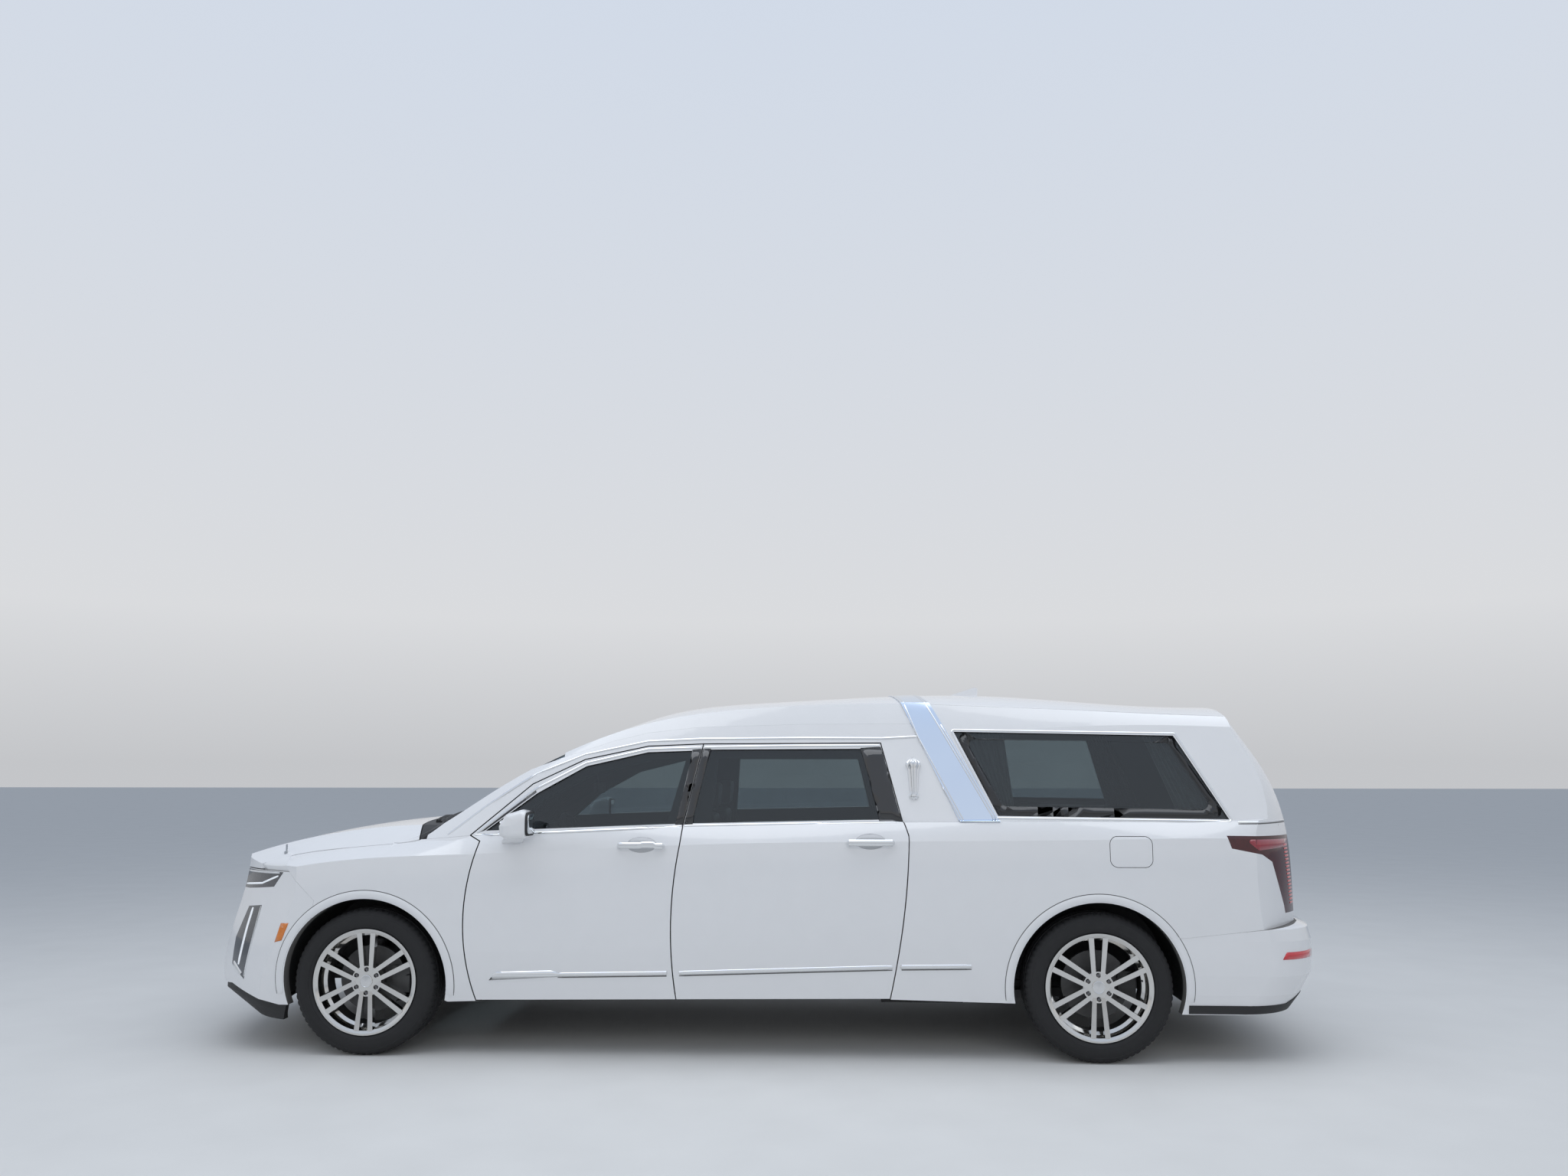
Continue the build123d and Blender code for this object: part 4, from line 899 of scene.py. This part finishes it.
def tyre_mesh(name, centre, body, replaced):
    """Tyre of the CAD one's size, its tread cut into blocks by cross grooves at both shoulders."""
    rows = []
    for i in range(TREAD_BLOCKS * 3):
        turn = 2 * math.pi * i / (TREAD_BLOCKS * 3)
        groove = i % 3 == 0
        row = []
        for y, r in tyre_profile:
            if groove and abs(y) > SHOULDER_Y and r > SHOULDER_RADIUS:
                r -= GROOVE_DEPTH
            row.append(centre + Vector((r * math.cos(turn), y, r * math.sin(turn))))
        rows.append(row)
    tyre = sweep(name, rows, rubber, body, True, 0.5)
    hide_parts(replaced)


for side, hand in SIDES:
    for axle, axle_x in AXLES:
        body = f"wheel_{axle}_{side}"
        hub = Vector((axle_x, hand * HALF_TRACK, HUB_Z))
        tyre_mesh(f"tread_{axle}_{side}", hub, body, f"tyre_{axle}_{side}")
        for k in range(6):
            turn = math.radians(90 + 60 * k)
            spot = hub + Vector((NUT_CIRCLE * math.cos(turn), 0, NUT_CIRCLE * math.sin(turn)))
            nut = [(hand * y, r) for y, r in nut_profile]
            lathe(f"nut_{axle}_{side}_{k}", nut, spot, dark_nut, body, 6, 0.3)
        cap = [(hand * y, r) for y, r in cap_profile]
        lathe(f"hub_cap_{axle}_{side}", cap, hub, bright_cap, body)
        valve = hub + Vector((0.222, hand * 0.068, 0.034))
        stem = [valve, valve + Vector((-0.006, hand * 0.026, 0))]
        tube(f"valve_{axle}_{side}", stem, 0.004, moulded_black, body, 8)

# Front seats as padded pieces on plain bases

SEAT_Y = 0.38


def cushion(name, low, high, tilt, flutes, axis):
    """Stuffed pad: a rounded box, swollen along an axis in the middle, with stitched flutes."""
    shape = bmesh.new()
    bmesh.ops.create_cube(shape, size=2)
    bmesh.ops.subdivide_edges(shape, edges=shape.edges[:], cuts=15, use_grid_fill=True)
    half = [(b - a) / 2 for a, b in zip(low, high)]
    middle = [(b + a) / 2 for a, b in zip(low, high)]
    for v in shape.verts:
        u = [max(-1.0, min(1.0, c)) for c in v.co]
        length = sum(abs(c) ** 5 for c in u) ** 0.2
        u = [c / max(length, 1e-6) * max(abs(c) for c in u) for c in u]
        depth = 1 - 0.035 * abs(math.sin(u[1] * math.pi * flutes)) ** 8
        spot = [m + h * c for m, h, c in zip(middle, half, u)]
        spot[axis] = middle[axis] + half[axis] * u[axis] * (0.90 + 0.10 * (1 - u[1] ** 2)) * depth
        spot[0] += tilt * (spot[2] - low[2])
        v.co = Vector(spot)
    mesh = bpy.data.meshes.new(name)
    shape.to_mesh(mesh)
    shape.free()
    pad = placed(name, mesh, leather, "car_body", 0.9)
    return pad


for side, hand in SIDES:
    y = hand * SEAT_Y
    low, high = (-0.87, y - 0.245, 0.565), (-0.33, y + 0.245, 0.725)
    seat = cushion(f"seat_cushion_{side}", low, high, 0.0, 3, 2)
    low, high = (-0.455, y - 0.240, 0.66), (-0.315, y + 0.240, 1.225)
    cushion(f"seat_back_{side}", low, high, 0.21, 3, 0)
    low, high = (-0.300, y - 0.130, 1.250), (-0.205, y + 0.130, 1.395)
    cushion(f"head_rest_{side}", low, high, 0.10, 1, 0)
    low, high = (-0.80, y - 0.18, 0.342), (-0.35, y + 0.18, 0.575)
    block(f"seat_base_{side}", low, high, 0.012, cabin)
    for place, set_off in (("inner", -0.06 * hand), ("outer", 0.06 * hand)):
        path = [(-0.33, y + set_off, 1.18), (-0.25, y + set_off, 1.30)]
        bright_tube(f"head_post_{side}_{place}", path, 0.006, sides=8)
    if hand < 0:
        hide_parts("front_seats")

# Drapes gathered at both ends of each quarter window

DRAPE_FOOT_Z = 1.220
ROOF_BEND_Z = 1.640
GLASS_GAP = 0.088
FOLDS = 8
drape_outlines = [
    ("front", (1.095, 1.355), (1.305, 1.395), 1.685),
    ("rear", (2.085, 2.235), (2.245, 2.465), 1.675),
]


def grid_faces(rows, columns):
    """Faces of a grid of points that was filled row by row."""
    corners = [i * (columns + 1) + j for i in range(rows) for j in range(columns)]
    return [(a, a + 1, a + columns + 2, a + columns + 1) for a in corners]


for side, hand in SIDES:
    inside = from_side(tree_of(f"quarter_{side}", "fixed_glass"), hand)
    for place, top, foot, top_z in drape_outlines:
        rows, columns = 36, 96
        points = []
        for i in range(rows + 1):
            share = i / rows
            z = top_z + (DRAPE_FOOT_Z - top_z) * share
            start = top[0] + (foot[0] - top[0]) * share
            end = top[1] + (foot[1] - top[1]) * share
            for j in range(columns + 1):
                t = j / columns
                x = start + (end - start) * t
                hit, _ = inside(x, min(z, ROOF_BEND_Z))
                lean = (z - min(z, ROOF_BEND_Z)) * 0.20
                fold = 0.011 * math.sin(2 * math.pi * FOLDS * t + 0.5 * math.sin(5 * share))
                fold += 0.003 * math.sin(31 * t + 9 * share)
                points.append(Vector((x, hit.y - hand * (GLASS_GAP + lean + fold), z)))
        faces = grid_faces(rows, columns)
        cover = piece(f"drape_{place}_{side}", points, faces, cloth, "car_body", 1.2)
        long = top_z - DRAPE_FOOT_Z
        if hand < 0 and place == "front":
            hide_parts("drapes")

# Headliner under the raised roof, a lamp in it, deck rails and the inner mirror

CEILING_HALF_WIDTH = 0.60
roof_tree = tree_of("roof_front", "roof_rear")
points = []
columns = 24
stations = [-0.72 + 0.10 * k for k in range(33)]
for x in stations:
    for k in range(columns + 1):
        y = CEILING_HALF_WIDTH * (2 * k / columns - 1)
        hit, _, _, _ = roof_tree.ray_cast(Vector((x, y, 1.2)), Vector((0, 0, 1)), 0.9)
        if hit is None:
            hit, _, _, _ = roof_tree.find_nearest(Vector((x, y, 1.75)))
        points.append(Vector((x, y, hit.z - 0.008)))
faces = grid_faces(len(stations) - 1, columns)
piece("headliner", points, faces, headliner_cloth, "car_body", 1.0)
for k, x in enumerate((0.10, 1.20, 2.10)):
    low, high = (x - 0.09, -0.035, 1.716), (x + 0.09, 0.035, 1.742)
    block(f"ceiling_lamp_{k}", low, high, 0.006, clear_light)
for side, hand in SIDES:
    for number, y in ((1, 0.30), (2, 0.49)):
        path = [(-0.05, hand * y, 0.726), (2.70, hand * y, 0.726)]
        bright_tube(f"deck_rail_{side}_{number}", path, 0.007, sides=8)
stalk = [(-0.985, 0.0, 1.470), (-0.975, 0.0, 1.390)]
tube("inner_mirror_stalk", stalk, 0.007, cabin, "car_body")
for name, low, high, edge, finish in (
    ("inner_mirror", (-0.985, -0.125, 1.322), (-0.960, 0.125, 1.388), 0.010, cabin),
    ("dash_screen", (-1.262, -0.62, 1.070), (-1.248, 0.10, 1.150), 0.004, gloss_black),
    ("centre_console", (-1.160, -0.105, 0.345), (-0.36, 0.105, 0.640), 0.020, cabin),
):
    block(name, low, high, edge, finish)

# Stage, camera and lights

ground = plain("pale_floor", (0.74, 0.74, 0.73), 0.8, spread=0.05, scale=2.5, bump=0.002)
mesh = bpy.data.meshes.new("studio_floor")
mesh.from_pydata([(-60, -60, 0), (60, -60, 0), (60, 60, 0), (-60, 60, 0)], [], [(0, 1, 2, 3)])
mesh.materials.append(ground)
floor = bpy.data.objects.new("studio_floor", mesh)
bpy.context.scene.collection.objects.link(floor)
floor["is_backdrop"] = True

view = bpy.data.cameras.new("photo_camera")
view.lens = 26.367
view.sensor_width = 36
view.shift_y = 0.0435
view.clip_end = 300
camera = bpy.data.objects.new("photo_camera", view)
camera.location = (0.4513, -6.9357, 1.5125)
camera.rotation_euler = (math.radians(95.256), 0, math.radians(2.537))
bpy.context.scene.collection.objects.link(camera)
bpy.context.scene.camera = camera


def area_light(name, place, target, size, power, colour, mirrored):
    lamp = bpy.data.lights.new(name, "AREA")
    lamp.shape = "RECTANGLE"
    lamp.size, lamp.size_y = size
    lamp.energy = power
    lamp.color = colour
    obj = bpy.data.objects.new(name, lamp)
    obj.location = place
    obj.visible_glossy = mirrored
    obj.rotation_euler = (Vector(target) - Vector(place)).to_track_quat("-Z", "Y").to_euler()
    bpy.context.scene.collection.objects.link(obj)


area_light("sky_panel", (0.5, -1.5, 7.5), (0, 0, 0), (12, 7), 350, (0.98, 0.99, 1.0), True)
area_light("camera_side", (2.5, -11.0, 5.0), (0, 0, 0.8), (10, 4), 165, (1.0, 0.99, 0.97), False)
area_light("nose_side", (-9.0, -5.0, 4.0), (-1.5, 0, 0.8), (5, 4), 50, (0.98, 0.99, 1.0), False)


def sky_ramp(tree, height, low, middle, high):
    """Colours over the height: low and high at the ramp's ends, middle between them."""
    ramp = tree.nodes.new("ShaderNodeValToRGB")
    for stop, (spot, colour) in zip(ramp.color_ramp.elements, (low, high)):
        stop.position = spot
        stop.color = (*colour, 1)
    for spot, colour in middle:
        stop = ramp.color_ramp.elements.new(spot)
        stop.color = (*colour, 1)
    tree.links.new(height, ramp.inputs["Fac"])
    return ramp.outputs["Color"]


world = bpy.data.worlds.new("soft_sky")
bpy.context.scene.world = world
world.use_nodes = True
tree = world.node_tree
backdrop = tree.nodes["Background"]
place = tree.nodes.new("ShaderNodeTexCoord")
split = tree.nodes.new("ShaderNodeSeparateXYZ")
tree.links.new(place.outputs["Generated"], split.inputs[0])
sky = sky_ramp(
    tree, split.outputs["Z"], (0.0, (0.40, 0.40, 0.40)),
    [(0.06, (0.36, 0.37, 0.39)), (0.22, (0.62, 0.66, 0.72)), (0.45, (0.78, 0.83, 0.90))],
    (1.0, (0.40, 0.52, 0.72)),
)
tree.links.new(sky, backdrop.inputs["Color"])
backdrop.inputs["Strength"].default_value = 0.60
pale = tree.nodes.new("ShaderNodeBackground")
shade = sky_ramp(
    tree, split.outputs["Z"], (0.0, (0.55, 0.56, 0.58)), [(0.12, (0.70, 0.71, 0.73))],
    (0.9, (0.60, 0.70, 0.86)),
)
tree.links.new(shade, pale.inputs["Color"])
rays = tree.nodes.new("ShaderNodeLightPath")
seen = math_node(tree, "MAXIMUM", rays.outputs["Is Camera Ray"], rays.outputs["Is Glossy Ray"])
seen = math_node(tree, "MAXIMUM", seen, rays.outputs["Is Transmission Ray"])
choice = tree.nodes.new("ShaderNodeMixShader")
tree.links.new(seen, choice.inputs["Fac"])
tree.links.new(backdrop.outputs[0], choice.inputs[1])
tree.links.new(pale.outputs[0], choice.inputs[2])
tree.links.new(choice.outputs[0], tree.nodes["World Output"].inputs["Surface"])
bpy.context.scene.view_settings.view_transform = "Standard"

low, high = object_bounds()
list(low)
list(high)
